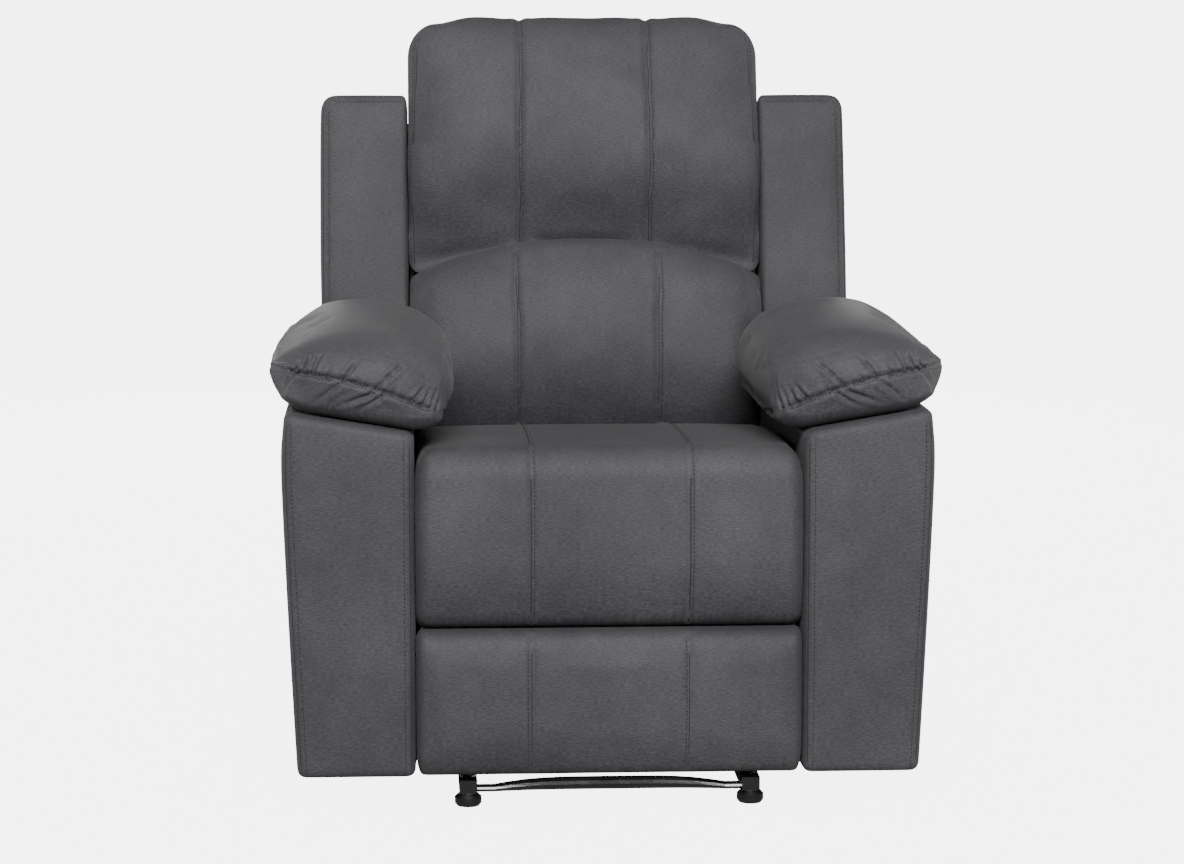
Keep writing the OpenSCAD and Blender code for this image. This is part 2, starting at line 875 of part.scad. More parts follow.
// Padded panel over the whole rear of the back
module outside_back() {
  outer = wing_outer_w / 2 - 3;
  lower = seat_half_w - 2;
  color(cloth) leaned() {
    block([-outer, back_rear + 0.3, wing_bottom], [outer, back_rear + outer_panel_t, wing_top - 2]);
    block([-lower, back_rear + 0.3, -10], [lower, back_rear + outer_panel_t, wing_bottom]);
    side_plate_shape(-wing_in_x, 2 * wing_in_x) polygon([
      [back_front, wing_top - 3.7], [back_rear + 0.3, wing_top - 3.7],
      [back_rear + 0.3, wing_top + 6], [back_rear - 30, wing_top + 40],
      [back_front + 14, wing_top + 50], [back_front, wing_top + 42]
    ]);
  }
}

// Upholstered sides of the back where it stands between the arms
module back_side_panels() {
  side_x = back_board_x + back_board_t;
  color(cloth) leaned() both_sides()
    block([side_x, back_front, -18], [side_x + 2.5, back_rear, wing_bottom]);
}

// ---------------------------------------------------------------- front pad and footrest

// Outline of a pad hanging below the fold axis, from one height to another
module hanging_pad(top_up, bottom_up, round_top, round_bottom) {
  r = crease_r;
  translate([fold_y, fold_z]) {
    translate([-pad_face, bottom_up + round_bottom])
      square([pad_face - pad_back, top_up - bottom_up - round_top - round_bottom]);
    if (round_top > 0) {
      translate([-pad_face + r, top_up - r]) circle(r = r);
      translate([-pad_face + r, top_up - r]) square([pad_face - pad_back - r, r]);
    }
    if (round_bottom > 0) {
      translate([-pad_face + r, bottom_up + r]) circle(r = r);
      translate([-pad_face + r, bottom_up]) square([pad_face - pad_back - r, r]);
    }
  }
}

module front_pad_cushion() {
  color(cloth) side_plate_shape(-seat_half_w, 2 * seat_half_w)
    difference() {
      hanging_pad(-4, crease[1] - fold_z + crease_gap / 2, 0, crease_r);
      translate([fold_y, fold_z]) circle(r = roll_r + 0.5);
    }
}

module front_pad_board() {
  color(timber) block(
    [-seat_half_w + 10, fold_y - pad_back + 0.3, crease[1] + crease_gap],
    [seat_half_w - 10, fold_y - pad_back + board_t, fold_z - roll_r - 2]);
}

module footrest_cushion() {
  color(cloth) side_plate_shape(-seat_half_w, 2 * seat_half_w)
    hanging_pad(crease[1] - fold_z - crease_gap / 2, footrest_bottom_z - fold_z, crease_r, crease_r);
}

module footrest_board() {
  color(timber) block(
    [-seat_half_w + 10, fold_y - pad_back + 0.3, footrest_bottom_z + 6],
    [seat_half_w - 10, fold_y - pad_back + board_t, crease[1] - crease_gap]);
}

// The hinge behind the crease: one leaf on each board, and a pin held by the upper leaf
module hinge_knuckle(x0, length) {
  pin_x(crease, x0, length, hinge_knuckle_r);
}

module hinge_leaf(half, low, high) {
  block([-half, board_rear_y, low], [half, board_rear_y + hinge_leaf_t, high]);
}

module crease_hinge_upper() {
  color(steel) both_sides() {
    difference() {
      union() {
        block([hinge_mid_half + 1, board_rear_y, crease[1]],
              [hinge_half, board_rear_y + hinge_leaf_t, crease[1] + hinge_leaf_h]);
        hinge_knuckle(hinge_mid_half + 1, hinge_half - hinge_mid_half - 1);
      }
      pin_x(crease, 0, hinge_half + 1, crease_pin_r);
    }
  }
  color(steel) hinge_leaf(hinge_half, crease[1] + hinge_leaf_h - 6, crease[1] + hinge_leaf_h);
  color(steel) pin_x(crease, -hinge_half, 2 * hinge_half, crease_pin_r);
}

module crease_hinge_lower() {
  color(steel) difference() {
    union() {
      hinge_leaf(hinge_mid_half, crease[1] - hinge_leaf_h, crease[1]);
      hinge_leaf(hinge_half, crease[1] - hinge_leaf_h, crease[1] - hinge_leaf_h + 12);
      hinge_knuckle(-hinge_mid_half, 2 * hinge_mid_half);
    }
    pin_x(crease, -hinge_mid_half - 1, 2 * hinge_mid_half + 2, crease_pin_r + run_fit);
  }
}

// Angle on the back of the board, with an ear for the two links
module footrest_brackets() {
  foot_w = 26;
  color(steel) both_sides() {
    block([crank_x - foot_w, board_rear_y, pivot_rest_control[1] - 16],
          [crank_x, board_rear_y + link_t, pivot_rest_carrier[1] + 14]);
    side_plate_shape(crank_x, link_t) difference() {
      union() {
        bar_outline(pivot_rest_carrier, pivot_rest_control, link_w);
        translate([board_rear_y, pivot_rest_control[1] - 16])
          square([pivot_rest_control[0] - board_rear_y - 4,
                  pivot_rest_carrier[1] - pivot_rest_control[1] + 30]);
      }
      hole_at(pivot_rest_carrier, rivet_r);
      hole_at(pivot_rest_control, rivet_r);
    }
  }
}

module footrest_rivets() {
  color(steel) both_sides()
    for (at = [pivot_rest_carrier, pivot_rest_control])
      rivet(at, carrier_x - 0.2, crank_x + link_t);
}

// ---------------------------------------------------------------- links

module drive_link() {
  color(steel) side_plate_shape(crank_x, link_t) difference() {
    union() {
      bar_outline(pivot_seat_drive, pivot_drive_control, link_w);
      neck(pivot_seat_drive, pivot_drive_carrier, link_w);
      hole_at(pivot_drive_carrier, link_w / 2);
    }
    hole_at(pivot_seat_drive, rivet_r + run_fit);
    hole_at(pivot_drive_carrier, rivet_r);
    hole_at(pivot_drive_control, rivet_r);
  }
}

module drive_links() {
  drive_link();
  difference() {
    mirror([1, 0, 0]) drive_link();
    catch_pin();
  }
}

module drive_link_rivets() {
  color(steel) both_sides()
    for (at = [pivot_drive_carrier, pivot_drive_control])
      rivet(at, carrier_x - 0.2, crank_x + link_t);
}

// Pin on the drive link at -X that the latch holds
module catch_pin() {
  color(steel) pin_x(catch_point, -crank_x - link_t, crank_x + link_t - latch_x + 1, rivet_r);
}

module guide_links() {
  color(steel) both_sides() side_plate_shape(crank_x, link_t) difference() {
    bar_outline(pivot_seat_guide, pivot_guide_carrier, link_w);
    hole_at(pivot_seat_guide, rivet_r + run_fit);
    hole_at(pivot_guide_carrier, rivet_r + open_fit);
  }
}

module carrier_links() {
  color(steel) both_sides() side_plate_shape(carrier_x, link_t) difference() {
    union() {
      bar_outline(pivot_drive_carrier, pivot_rest_carrier, link_w);
      neck(pivot_guide_carrier, pivot_drive_carrier, link_w);
      hole_at(pivot_guide_carrier, link_w / 2);
    }
    hole_at(pivot_guide_carrier, rivet_r);
    hole_at(pivot_drive_carrier, rivet_r + run_fit);
    hole_at(pivot_rest_carrier, rivet_r + open_fit);
  }
}

module carrier_rivets() {
  color(steel) both_sides() rivet(pivot_guide_carrier, carrier_x - 0.2, crank_x + link_t + 0.2);
}

module control_links() {
  color(steel) both_sides() side_plate_shape(carrier_x, link_t) difference() {
    bar_outline(pivot_drive_control, pivot_rest_control, link_w);
    hole_at(pivot_drive_control, rivet_r + run_fit);
    hole_at(pivot_rest_control, rivet_r + open_fit);
  }
}

// ---------------------------------------------------------------- assembly

foot_caps();
foot_bolts();
left_base_rail();
right_base_rail();
front_cross_tube();
rear_cross_tube();
track_posts();
slide_tracks();
arm_brackets();
arm_bolts();
left_arm_frame();
right_arm_frame();
left_arm_cover();
right_arm_cover();
left_arm_pad();
right_arm_pad();
rear_apron();
release_bezel();
release_cable();
latch_bracket();
latch_pin();
seat_runners();
seat_side_rails();
seat_front_rail();
seat_rear_rail();
seat_springs();
spring_clips();
seat_cushion();
side_plates();
seat_pivot_rivets();
side_plate_bolts();
back_hinge_pins();
back_frame();
back_webbing();
back_hinge_plates();
wing_frames();
left_wing();
right_wing();
head_pillow();
lumbar_cushion();
outside_back();
back_side_panels();
front_pad_board();
front_pad_cushion();
crease_hinge_upper();
footrest_board();
footrest_cushion();
crease_hinge_lower();
footrest_brackets();
footrest_rivets();
drive_links();
drive_link_rivets();
catch_pin();
guide_links();
carrier_links();
carrier_rivets();
control_links();
release_paddle();
paddle_pin();
latch_pawl();
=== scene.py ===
import json
import math

import bpy
import numpy as np
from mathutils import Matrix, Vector
from mathutils.bvhtree import BVHTree
from mathutils.kdtree import KDTree

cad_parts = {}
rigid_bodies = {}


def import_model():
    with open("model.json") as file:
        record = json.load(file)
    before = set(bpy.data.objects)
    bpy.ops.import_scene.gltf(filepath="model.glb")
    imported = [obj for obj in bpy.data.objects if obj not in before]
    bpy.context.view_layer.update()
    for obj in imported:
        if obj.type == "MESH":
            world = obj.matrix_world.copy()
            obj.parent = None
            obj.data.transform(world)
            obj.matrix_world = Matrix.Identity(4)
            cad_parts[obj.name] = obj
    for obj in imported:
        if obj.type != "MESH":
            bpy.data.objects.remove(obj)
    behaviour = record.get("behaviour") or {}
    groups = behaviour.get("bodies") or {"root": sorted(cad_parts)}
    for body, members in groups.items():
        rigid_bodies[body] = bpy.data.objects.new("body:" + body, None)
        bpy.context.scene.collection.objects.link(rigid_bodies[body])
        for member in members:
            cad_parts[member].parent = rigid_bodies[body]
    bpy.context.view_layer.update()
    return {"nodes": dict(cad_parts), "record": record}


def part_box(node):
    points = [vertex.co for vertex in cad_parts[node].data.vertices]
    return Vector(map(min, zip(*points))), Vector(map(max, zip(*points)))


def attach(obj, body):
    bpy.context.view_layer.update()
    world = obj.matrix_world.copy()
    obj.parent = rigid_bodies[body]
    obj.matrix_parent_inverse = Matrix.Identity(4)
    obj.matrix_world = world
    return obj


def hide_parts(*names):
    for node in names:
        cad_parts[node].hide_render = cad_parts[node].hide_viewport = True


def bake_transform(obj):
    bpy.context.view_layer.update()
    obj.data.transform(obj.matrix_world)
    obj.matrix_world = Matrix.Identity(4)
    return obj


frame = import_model()
SCENE = bpy.context.scene

# ---------- measures that several pieces share

LEAN = math.radians(14)                  # the back's lean at rest
HINGE = np.array([0.0, 0.1975, 0.345])   # a point on its hinge line
SEAM_X = 0.104                           # panel seams of the seat and footrest, from the middle
HEAD_SEAM_X = 0.0955                     # panel seams of the pillow


def leaned(co):
    """Points drawn upright about the back's hinge, placed at the leaned back."""
    co = np.asarray(co, float)
    c, s = math.cos(LEAN), math.sin(LEAN)
    out = np.empty_like(co)
    out[:, 0] = co[:, 0]
    out[:, 1] = HINGE[1] + co[:, 1] * c + co[:, 2] * s
    out[:, 2] = HINGE[2] - co[:, 1] * s + co[:, 2] * c
    return out


def both(node):
    """The low and high corners of a CAD node's box."""
    lo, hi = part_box(node)
    return np.array(lo), np.array(hi)


# ---------- materials

def rgb(hexcode):
    """A linear colour from its sRGB hex code."""
    out = []
    for i in (0, 2, 4):
        v = int(hexcode[i:i + 2], 16) / 255
        out.append(v / 12.92 if v <= 0.04045 else ((v + 0.055) / 1.055) ** 2.4)
    return (*out, 1.0)


class Nodes:
    """A material's node tree, built in short calls."""

    def __init__(self, name):
        self.mat = bpy.data.materials.new(name)
        self.mat.use_nodes = True
        self.tree = self.mat.node_tree
        self.tree.nodes.clear()
        self.out = self.add("ShaderNodeOutputMaterial")
        self.bsdf = self.add("ShaderNodeBsdfPrincipled")
        self.link(self.bsdf.outputs[0], self.out.inputs[0])
        self.co = self.add("ShaderNodeTexCoord").outputs["Object"]

    def add(self, kind, **values):
        n = self.tree.nodes.new(kind)
        for k, v in values.items():
            setattr(n, k, v)
        return n

    def link(self, a, b):
        self.tree.links.new(a, b)

    def put(self, socket, value):
        if isinstance(value, bpy.types.NodeSocket):
            self.link(value, socket)
        else:
            socket.default_value = value

    def math(self, op, a, b=0.5, c=None, clamp=False):
        n = self.add("ShaderNodeMath", operation=op, use_clamp=clamp)
        self.put(n.inputs[0], a)
        self.put(n.inputs[1], b)
        if c is not None:
            self.put(n.inputs[2], c)
        return n.outputs[0]

    def noise(self, vector, scale, detail=3.0, rough=0.55):
        n = self.add("ShaderNodeTexNoise")
        n.inputs["Scale"].default_value = scale
        n.inputs["Detail"].default_value = detail
        n.inputs["Roughness"].default_value = rough
        self.link(vector, n.inputs["Vector"])
        return n.outputs["Fac"]

    def ramp(self, value, stops):
        n = self.add("ShaderNodeValToRGB")
        while len(n.color_ramp.elements) < len(stops):
            n.color_ramp.elements.new(0.5)
        for e, (pos, colour) in zip(n.color_ramp.elements, stops):
            e.position = pos
            e.color = colour
        self.link(value, n.inputs[0])
        return n.outputs[0]

    def spread(self, value, low, high, to_low, to_high):
        n = self.add("ShaderNodeMapRange")
        n.clamp = True
        for socket, v in zip(list(n.inputs)[:5], (value, low, high, to_low, to_high)):
            self.put(socket, v)
        return n.outputs[0]

    def mix(self, fac, a, b, blend="MIX"):
        n = self.add("ShaderNodeMix", data_type="RGBA", blend_type=blend)
        self.put(n.inputs[0], fac)
        self.put(n.inputs[6], a)
        self.put(n.inputs[7], b)
        return n.outputs[2]

    def bump(self, height, strength, distance, normal=None):
        n = self.add("ShaderNodeBump")
        n.inputs["Strength"].default_value = strength
        n.inputs["Distance"].default_value = distance
        self.link(height, n.inputs["Height"])
        if normal is not None:
            self.link(normal, n.inputs["Normal"])
        return n.outputs[0]

    def set(self, **values):
        names = {
            "color": "Base Color", "rough": "Roughness", "metal": "Metallic",
            "sheen": "Sheen Weight", "sheen_rough": "Sheen Roughness", "sheen_tint": "Sheen Tint",
            "coat": "Coat Weight", "coat_rough": "Coat Roughness", "normal": "Normal",
            "specular": "Specular IOR Level",
        }
        for k, v in values.items():
            self.put(self.bsdf.inputs[names[k]], v)
        return self.mat


def upholstery():
    """Charcoal brushed faux suede: fine grain lying across the chair, with a soft nap and painted
    highlight glints on it.
    """
    m = Nodes("upholstery")
    parts = m.add("ShaderNodeSeparateXYZ")
    m.link(m.co, parts.inputs[0])
    x, y, z = parts.outputs
    facing = m.add("ShaderNodeSeparateXYZ")
    m.link(m.add("ShaderNodeNewGeometry").outputs["Normal"], facing.inputs[0])
    sideways = m.spread(m.math("ABSOLUTE", facing.outputs[0]), 0.55, 0.8, 0.0, 1.0)

    def lattice(a, b, low, high):
        v = m.add("ShaderNodeCombineXYZ")
        m.put(v.inputs[0], m.math("MULTIPLY", a, low))
        m.put(v.inputs[1], m.math("MULTIPLY", b, high))
        return v.outputs[0]

    run = m.math("ADD", y, z)

    def streaks(low, high, detail):
        front = m.noise(lattice(x, run, low, high), 1.0, detail)
        side = m.noise(lattice(y, z, low, high), 1.0, detail)
        pick = m.add("ShaderNodeMix", data_type="FLOAT")
        m.put(pick.inputs[0], sideways)
        m.put(pick.inputs[2], front)
        m.put(pick.inputs[3], side)
        return pick.outputs[0]

    grain = streaks(170.0, 620.0, 4.0)
    slub = streaks(45.0, 330.0, 3.0)
    nap = m.noise(m.co, 5.5, 3.0)
    cloud = m.noise(m.co, 38.0, 4.0, 0.6)
    glint_specks = m.noise(m.co, 1500.0, 2.0)
    tone = m.ramp(nap, [(0.3, rgb("3a3a3d")), (0.5, rgb("404043")), (0.72, rgb("474749"))])
    fine = m.spread(grain, 0.3, 0.72, 0.66, 1.32)
    broad = m.spread(slub, 0.3, 0.7, 0.9, 1.1)
    soft = m.spread(cloud, 0.3, 0.7, 0.94, 1.06)
    grain_tone = m.math("MULTIPLY", m.math("MULTIPLY", fine, broad), soft)
    # Painted highlight: small bright specks where the grain peaks, added to the colour as glints of
    # light on the nap
    glint = m.spread(m.math("MULTIPLY", grain, glint_specks), 0.34, 0.46, 0.0, 0.16)
    level = m.math("ADD", grain_tone, glint)
    grey = m.add("ShaderNodeCombineXYZ")
    for i in range(3):
        m.put(grey.inputs[i], level)
    colour = m.mix(1.0, tone, grey.outputs[0], "MULTIPLY")
    height = m.math("ADD", m.math("MULTIPLY", grain, 0.7), m.math("MULTIPLY", cloud, 0.5))
    fine_bump = m.bump(height, 0.5, 0.0007)
    return m.set(color=colour, rough=m.spread(slub, 0.3, 0.7, 0.58, 0.74), sheen=0.05,
                 sheen_rough=0.4, specular=0.3,
                 normal=m.bump(m.noise(m.co, 90.0, 3.0), 0.12, 0.0012, fine_bump))


def thread():
    """Near-black twisted thread."""
    m = Nodes("stitching_thread")
    twist = m.noise(m.co, 2400.0, 2.0)
    colour = m.ramp(twist, [(0.3, rgb("0f0f11")), (0.7, rgb("1f1f21"))])
    return m.set(color=colour, rough=0.6, sheen=0.05, normal=m.bump(twist, 0.4, 0.0003))


def seam_shadow():
    """Painted shade: a dark strip that stands for the shadow at the bottom of a sewn seam."""
    m = Nodes("seam_painted_shade")
    wear = m.noise(m.co, 300.0, 3.0)
    # Painted shade: the strip's dark colour stands for the shadow in the seam's groove; the noise only
    # mottles it at random
    colour = m.ramp(wear, [(0.3, rgb("1d1d1f")), (0.7, rgb("2b2b2d"))])
    return m.set(color=colour, rough=0.85, normal=m.bump(wear, 0.3, 0.0003))


def painted_steel():
    """Glossy black powder coat with orange peel and rubbed patches."""
    m = Nodes("black_steel")
    peel = m.noise(m.co, 420.0, 2.0)
    wear = m.noise(m.co, 22.0, 5.0, 0.65)
    colour = m.ramp(wear, [(0.35, rgb("08080a")), (0.68, rgb("101012")), (0.82, rgb("1c1c1e"))])
    return m.set(color=colour, rough=m.spread(wear, 0.3, 0.8, 0.2, 0.38), coat=0.3,
                 coat_rough=0.14, normal=m.bump(peel, 0.12, 0.0004))


def zinc_steel():
    """Rolled strip with a zinc spangle."""
    m = Nodes("zinc_steel")
    stretch = m.add("ShaderNodeMapping")
    stretch.inputs["Scale"].default_value = (60.0, 900.0, 60.0)
    m.link(m.co, stretch.inputs[0])
    rolled = m.noise(stretch.outputs[0], 1.0, 3.0)
    spangle = m.noise(m.co, 120.0, 4.0)
    colour = m.ramp(spangle, [(0.3, rgb("7f8184")), (0.7, rgb("a5a8ab"))])
    return m.set(color=colour, metal=1.0, rough=m.spread(rolled, 0.3, 0.7, 0.3, 0.48),
                 normal=m.bump(rolled, 0.15, 0.0003))


def moulded_plastic():
    """Black moulded plastic with a fine grain and light scuffs."""
    m = Nodes("black_plastic")
    grain = m.noise(m.co, 1100.0, 3.0)
    scuff = m.noise(m.co, 60.0, 5.0, 0.7)
    colour = m.ramp(scuff, [(0.4, rgb("0c0c0e")), (0.7, rgb("141416")), (0.85, rgb("202022"))])
    return m.set(color=colour, rough=m.spread(scuff, 0.3, 0.75, 0.32, 0.55),
                 normal=m.bump(grain, 0.2, 0.0004))


def timber():
    """Raw softwood for the frames inside."""
    m = Nodes("timber")
    stretch = m.add("ShaderNodeMapping")
    stretch.inputs["Scale"].default_value = (22.0, 4.0, 22.0)
    m.link(m.co, stretch.inputs[0])
    rings = m.add("ShaderNodeTexWave", wave_type="BANDS", bands_direction="X")
    rings.inputs["Scale"].default_value = 1.4
    rings.inputs["Distortion"].default_value = 5.0
    rings.inputs["Detail"].default_value = 3.0
    m.link(stretch.outputs[0], rings.inputs["Vector"])
    fibre = m.noise(stretch.outputs[0], 14.0, 4.0)
    colour = m.ramp(rings.outputs["Fac"], [(0.1, rgb("a67c4a")), (0.6, rgb("c29a66")),
                                           (0.95, rgb("8d6436"))])
    return m.set(color=colour, rough=m.spread(fibre, 0.3, 0.7, 0.6, 0.82),
                 normal=m.bump(fibre, 0.3, 0.0008))


def webbing():
    """Black elastic webbing."""
    m = Nodes("webbing")
    waves = []
    for axis in ("X", "Z"):
        w = m.add("ShaderNodeTexWave", wave_type="BANDS", bands_direction=axis)
        w.inputs["Scale"].default_value = 170.0
        m.link(m.co, w.inputs["Vector"])
        waves.append(w.outputs["Fac"])
    weave = m.math("MULTIPLY", *waves)
    colour = m.ramp(weave, [(0.0, rgb("18181a")), (1.0, rgb("3a3a3c"))])
    return m.set(color=colour, rough=0.8, sheen=0.3, normal=m.bump(weave, 0.6, 0.0008))


def dust_cloth():
    """Black non-woven cloth over the boards that show when the footrest is out."""
    m = Nodes("dust_cloth")
    felt = m.noise(m.co, 900.0, 4.0, 0.7)
    colour = m.ramp(felt, [(0.3, rgb("1a1a1c")), (0.7, rgb("2a2a2c"))])
    return m.set(color=colour, rough=0.85, sheen=0.1, normal=m.bump(felt, 0.4, 0.0005))


def vinyl():
    """The release cable's jacket."""
    m = Nodes("cable_jacket")
    dust = m.noise(m.co, 500.0, 3.0)
    colour = m.ramp(dust, [(0.35, rgb("111112")), (0.75, rgb("222224"))])
    return m.set(color=colour, rough=m.spread(dust, 0.3, 0.7, 0.4, 0.6),
                 normal=m.bump(dust, 0.2, 0.0003))


CLOTH = upholstery()
THREAD = thread()
SEAM_SHADE = seam_shadow()
FINISH = {
    "upholstery": CLOTH, "black_steel": painted_steel(), "zinc_steel": zinc_steel(),
    "black_plastic": moulded_plastic(), "timber": timber(), "webbing": webbing(),
    "cable_jacket": vinyl(),
}
COVERED = dust_cloth()
COVERED_BOARDS = ("front_pad_board", "footrest_board", "seat_front_rail", "seat_side_rails",
                  "seat_rear_rail", "back_frame", "wing_frames")
for part in frame["record"]["subparts"]:
    mesh = frame["nodes"][part["node"]].data
    mesh.materials.clear()
    finish = COVERED if part["node"] in COVERED_BOARDS else FINISH[part["material_slot"]]
    mesh.materials.append(finish)


# ---------- mesh helpers

def new_piece(name, co, faces, material=CLOTH, smooth=True):
    """A new mesh object in the scene."""
    mesh = bpy.data.meshes.new(name)
    mesh.from_pydata([tuple(c) for c in co], [], faces)
    mesh.materials.append(material)
    if smooth:
        mesh.polygons.foreach_set("use_smooth", [True] * len(mesh.polygons))
    mesh.update()
    obj = bpy.data.objects.new(name, mesh)
    SCENE.collection.objects.link(obj)
    return obj


def coords(obj):
    """Vertex places as an array."""
    co = np.empty(len(obj.data.vertices) * 3)
    obj.data.vertices.foreach_get("co", co)
    return co.reshape(-1, 3)


def put_coords(obj, co):
    """Moves the vertices to the places in co."""
    obj.data.vertices.foreach_set("co", np.asarray(co, float).ravel())
    obj.data.update()


def normals(obj):
    """Vertex normals as an array."""
    n = np.empty(len(obj.data.vertices) * 3)
    obj.data.vertices.foreach_get("normal", n)
    return n.reshape(-1, 3)


def ladder(stops):
    """Grid stations: [(station, steps to the next one), ...] with the last steps 0."""
    out = [stops[0][0]]
    for (a, n), (b, _) in zip(stops, stops[1:]):
        out += list(np.linspace(a, b, n + 1)[1:])
    return np.array(out)


class Lattice:
    """The surface grid of a box from -1 to 1, with its rows where the seams need them."""

    def __init__(self, us, vs, ws):
        self.axes = [np.asarray(a, float) for a in (us, vs, ws)]
        self.ids = {}
        self.at = []
        self.faces = []
        nu, nv, nw = (len(a) for a in self.axes)
        for k, up in ((0, False), (nw - 1, True)):
            for i in range(nu - 1):
                for j in range(nv - 1):
                    self.quad([(i, j, k), (i + 1, j, k), (i + 1, j + 1, k), (i, j + 1, k)], up)
        for j, up in ((0, True), (nv - 1, False)):
            for i in range(nu - 1):
                for k in range(nw - 1):
                    self.quad([(i, j, k), (i + 1, j, k), (i + 1, j, k + 1), (i, j, k + 1)], up)
        for i, up in ((0, False), (nu - 1, True)):
            for j in range(nv - 1):
                for k in range(nw - 1):
                    self.quad([(i, j, k), (i, j + 1, k), (i, j + 1, k + 1), (i, j, k + 1)], up)
        self.at = np.array(self.at)
        self.p = np.stack([self.axes[d][self.at[:, d]] for d in range(3)], axis=1)

    def vertex(self, key):
        if key not in self.ids:
            self.ids[key] = len(self.at)
            self.at.append(key)
        return self.ids[key]

    def quad(self, keys, up):
        f = [self.vertex(k) for k in keys]
        self.faces.append(f if up else f[::-1])

    def line(self, axis, station, across, side):
        """Vertex indices along the row of one axis at a station, on the side of the across axis."""
        row = int(np.argmin(abs(self.axes[axis] - station)))
        edge = 0 if side < 0 else len(self.axes[across]) - 1
        rest = 3 - axis - across
        out = []
        for n in range(len(self.axes[rest])):
            key = [0, 0, 0]
            key[axis], key[across], key[rest] = row, edge, n
            out.append(self.ids[tuple(key)])
        return out


def rounded(p, radii):
    """Box surface points with the corners rounded; radii are shares of the half sizes."""
    r = np.clip(radii, 1e-4, 1.0)
    inner = np.clip(p, -(1 - r), 1 - r)
    d = (p - inner) / r
    length = np.linalg.norm(d, axis=1, keepdims=True)
    length[length < 1e-9] = 1.0
    return inner + r * d / length


def bell(t, power=2.0):
    """1 in the middle, falling to 0 at -1 and 1."""
    return 1 - np.minimum(abs(t), 1.0) ** power


def smooth(t):
    """A soft step from 0 to 1."""
    t = np.clip(t, 0, 1)
    return t * t * (3 - 2 * t)


def evened(obj, move, turns=8):
    """Each vertex's move averaged with its neighbours', so the cloth swells without dents."""
    ends = np.empty(2 * len(obj.data.edges), int)
    obj.data.edges.foreach_get("vertices", ends)
    a, b = ends.reshape(-1, 2).T
    count = np.bincount(ends, minlength=len(move))[:, None]
    for _ in range(turns):
        total = np.zeros_like(move)
        np.add.at(total, a, move[b])
        np.add.at(total, b, move[a])
        move = 0.5 * move + 0.5 * total / count
    return move


def swell(obj, held, pressure=4.0, cap=0.012, shrink=0.0, frames=14):
    """Cloth under pressure, with the vertices in held kept where they are."""
    rest = coords(obj)
    group = obj.vertex_groups.new(name="held")
    for weight in np.unique(np.round(held, 2)):
        if weight > 0:
            index = np.nonzero(np.round(held, 2) == weight)[0].tolist()
            group.add(index, float(weight), "REPLACE")
    cloth = obj.modifiers.new("swell", "CLOTH")
    s = cloth.settings
    s.quality = 5
    s.mass = 0.35
    s.tension_stiffness = s.compression_stiffness = 18
    s.shear_stiffness = 8
    s.bending_stiffness = 0.6
    s.use_pressure = True
    s.uniform_pressure_force = pressure
    s.vertex_group_mass = "held"
    s.pin_stiffness = 1.0
    s.shrink_min = s.shrink_max = -shrink
    s.effector_weights.gravity = 0
    cloth.collision_settings.use_collision = False
    cloth.point_cache.frame_start = 1
    cloth.point_cache.frame_end = frames
    for f in range(1, frames + 1):
        SCENE.frame_set(f)
    graph = bpy.context.evaluated_depsgraph_get()
    solved = obj.evaluated_get(graph)
    moved = np.empty(len(solved.data.vertices) * 3)
    solved.data.vertices.foreach_get("co", moved)
    move = evened(obj, moved.reshape(-1, 3) - rest)
    obj.modifiers.remove(cloth)
    SCENE.frame_set(1)
    far = np.linalg.norm(move, axis=1, keepdims=True)
    move *= np.minimum(1.0, cap / np.maximum(far, 1e-9))
    put_coords(obj, rest + move)


def subdivide(obj, levels=1):
    """Smooth subdivision, applied."""
    m = obj.modifiers.new("soften", "SUBSURF")
    m.levels = m.render_levels = levels
    graph = bpy.context.evaluated_depsgraph_get()
    graph.update()
    mesh = bpy.data.meshes.new_from_object(obj.evaluated_get(graph))
    obj.modifiers.remove(m)
    old = obj.data
    obj.data = mesh
    name = old.name
    bpy.data.meshes.remove(old)
    mesh.name = name
    return obj


def resample(points, step):
    """Evenly spaced points along a line."""
    p = np.asarray(points, float)
    run = np.concatenate([[0], np.cumsum(np.linalg.norm(np.diff(p, axis=0), axis=1))])
    n = max(2, int(round(run[-1] / step)) + 1)
    at = np.linspace(0, run[-1], n)
    return np.stack([np.interp(at, run, p[:, i]) for i in range(3)], axis=1)


def line_of(x, y, z):
    """A line of points; a single number stands for the whole line."""
    return np.column_stack(np.broadcast_arrays(x, y, z))


def relaxed(line, turns=6):
    """The line with its small kinks taken out; its ends stay."""
    out = np.array(line, float)
    for _ in range(turns):
        out[1:-1] = 0.25 * out[:-2] + 0.5 * out[1:-1] + 0.25 * out[2:]
    return out


def groove(obj, lines, depth, width, ridge=0.0):
    """Sinks the surface along lines, and lifts it a little beside them."""
    co, n = coords(obj), normals(obj)
    tree = KDTree(sum(len(l) for l in lines))
    count = 0
    for l in lines:
        for p in l:
            tree.insert(p, count)
            count += 1
    tree.balance()
    d = np.array([tree.find(c)[2] for c in co])
    sink = depth * np.exp(-(d / width) ** 2)
    lift = ridge * np.exp(-((d - 2.2 * width) / (1.3 * width)) ** 2)
    put_coords(obj, co + n * (lift - sink)[:, None])


def fold(obj, start, end, depth, width):
    """A crease pressed into the surface between two points, fading at its far end."""
    co, n = coords(obj), normals(obj)
    a, b = np.asarray(start, float), np.asarray(end, float)
    run = b - a
    t = np.clip(((co - a) @ run) / (run @ run), 0, 1)
    near = a + t[:, None] * run
    d = np.linalg.norm(co - near, axis=1)
    fade = smooth((t + 0.04) / 0.2) * (1 - t) ** 0.7
    lift = 0.4 * depth * np.exp(-((d - 1.9 * width) / (1.1 * width)) ** 2) * fade
    sink = depth * np.exp(-(d / width) ** 2) * fade
    put_coords(obj, co + n * (lift - sink)[:, None])


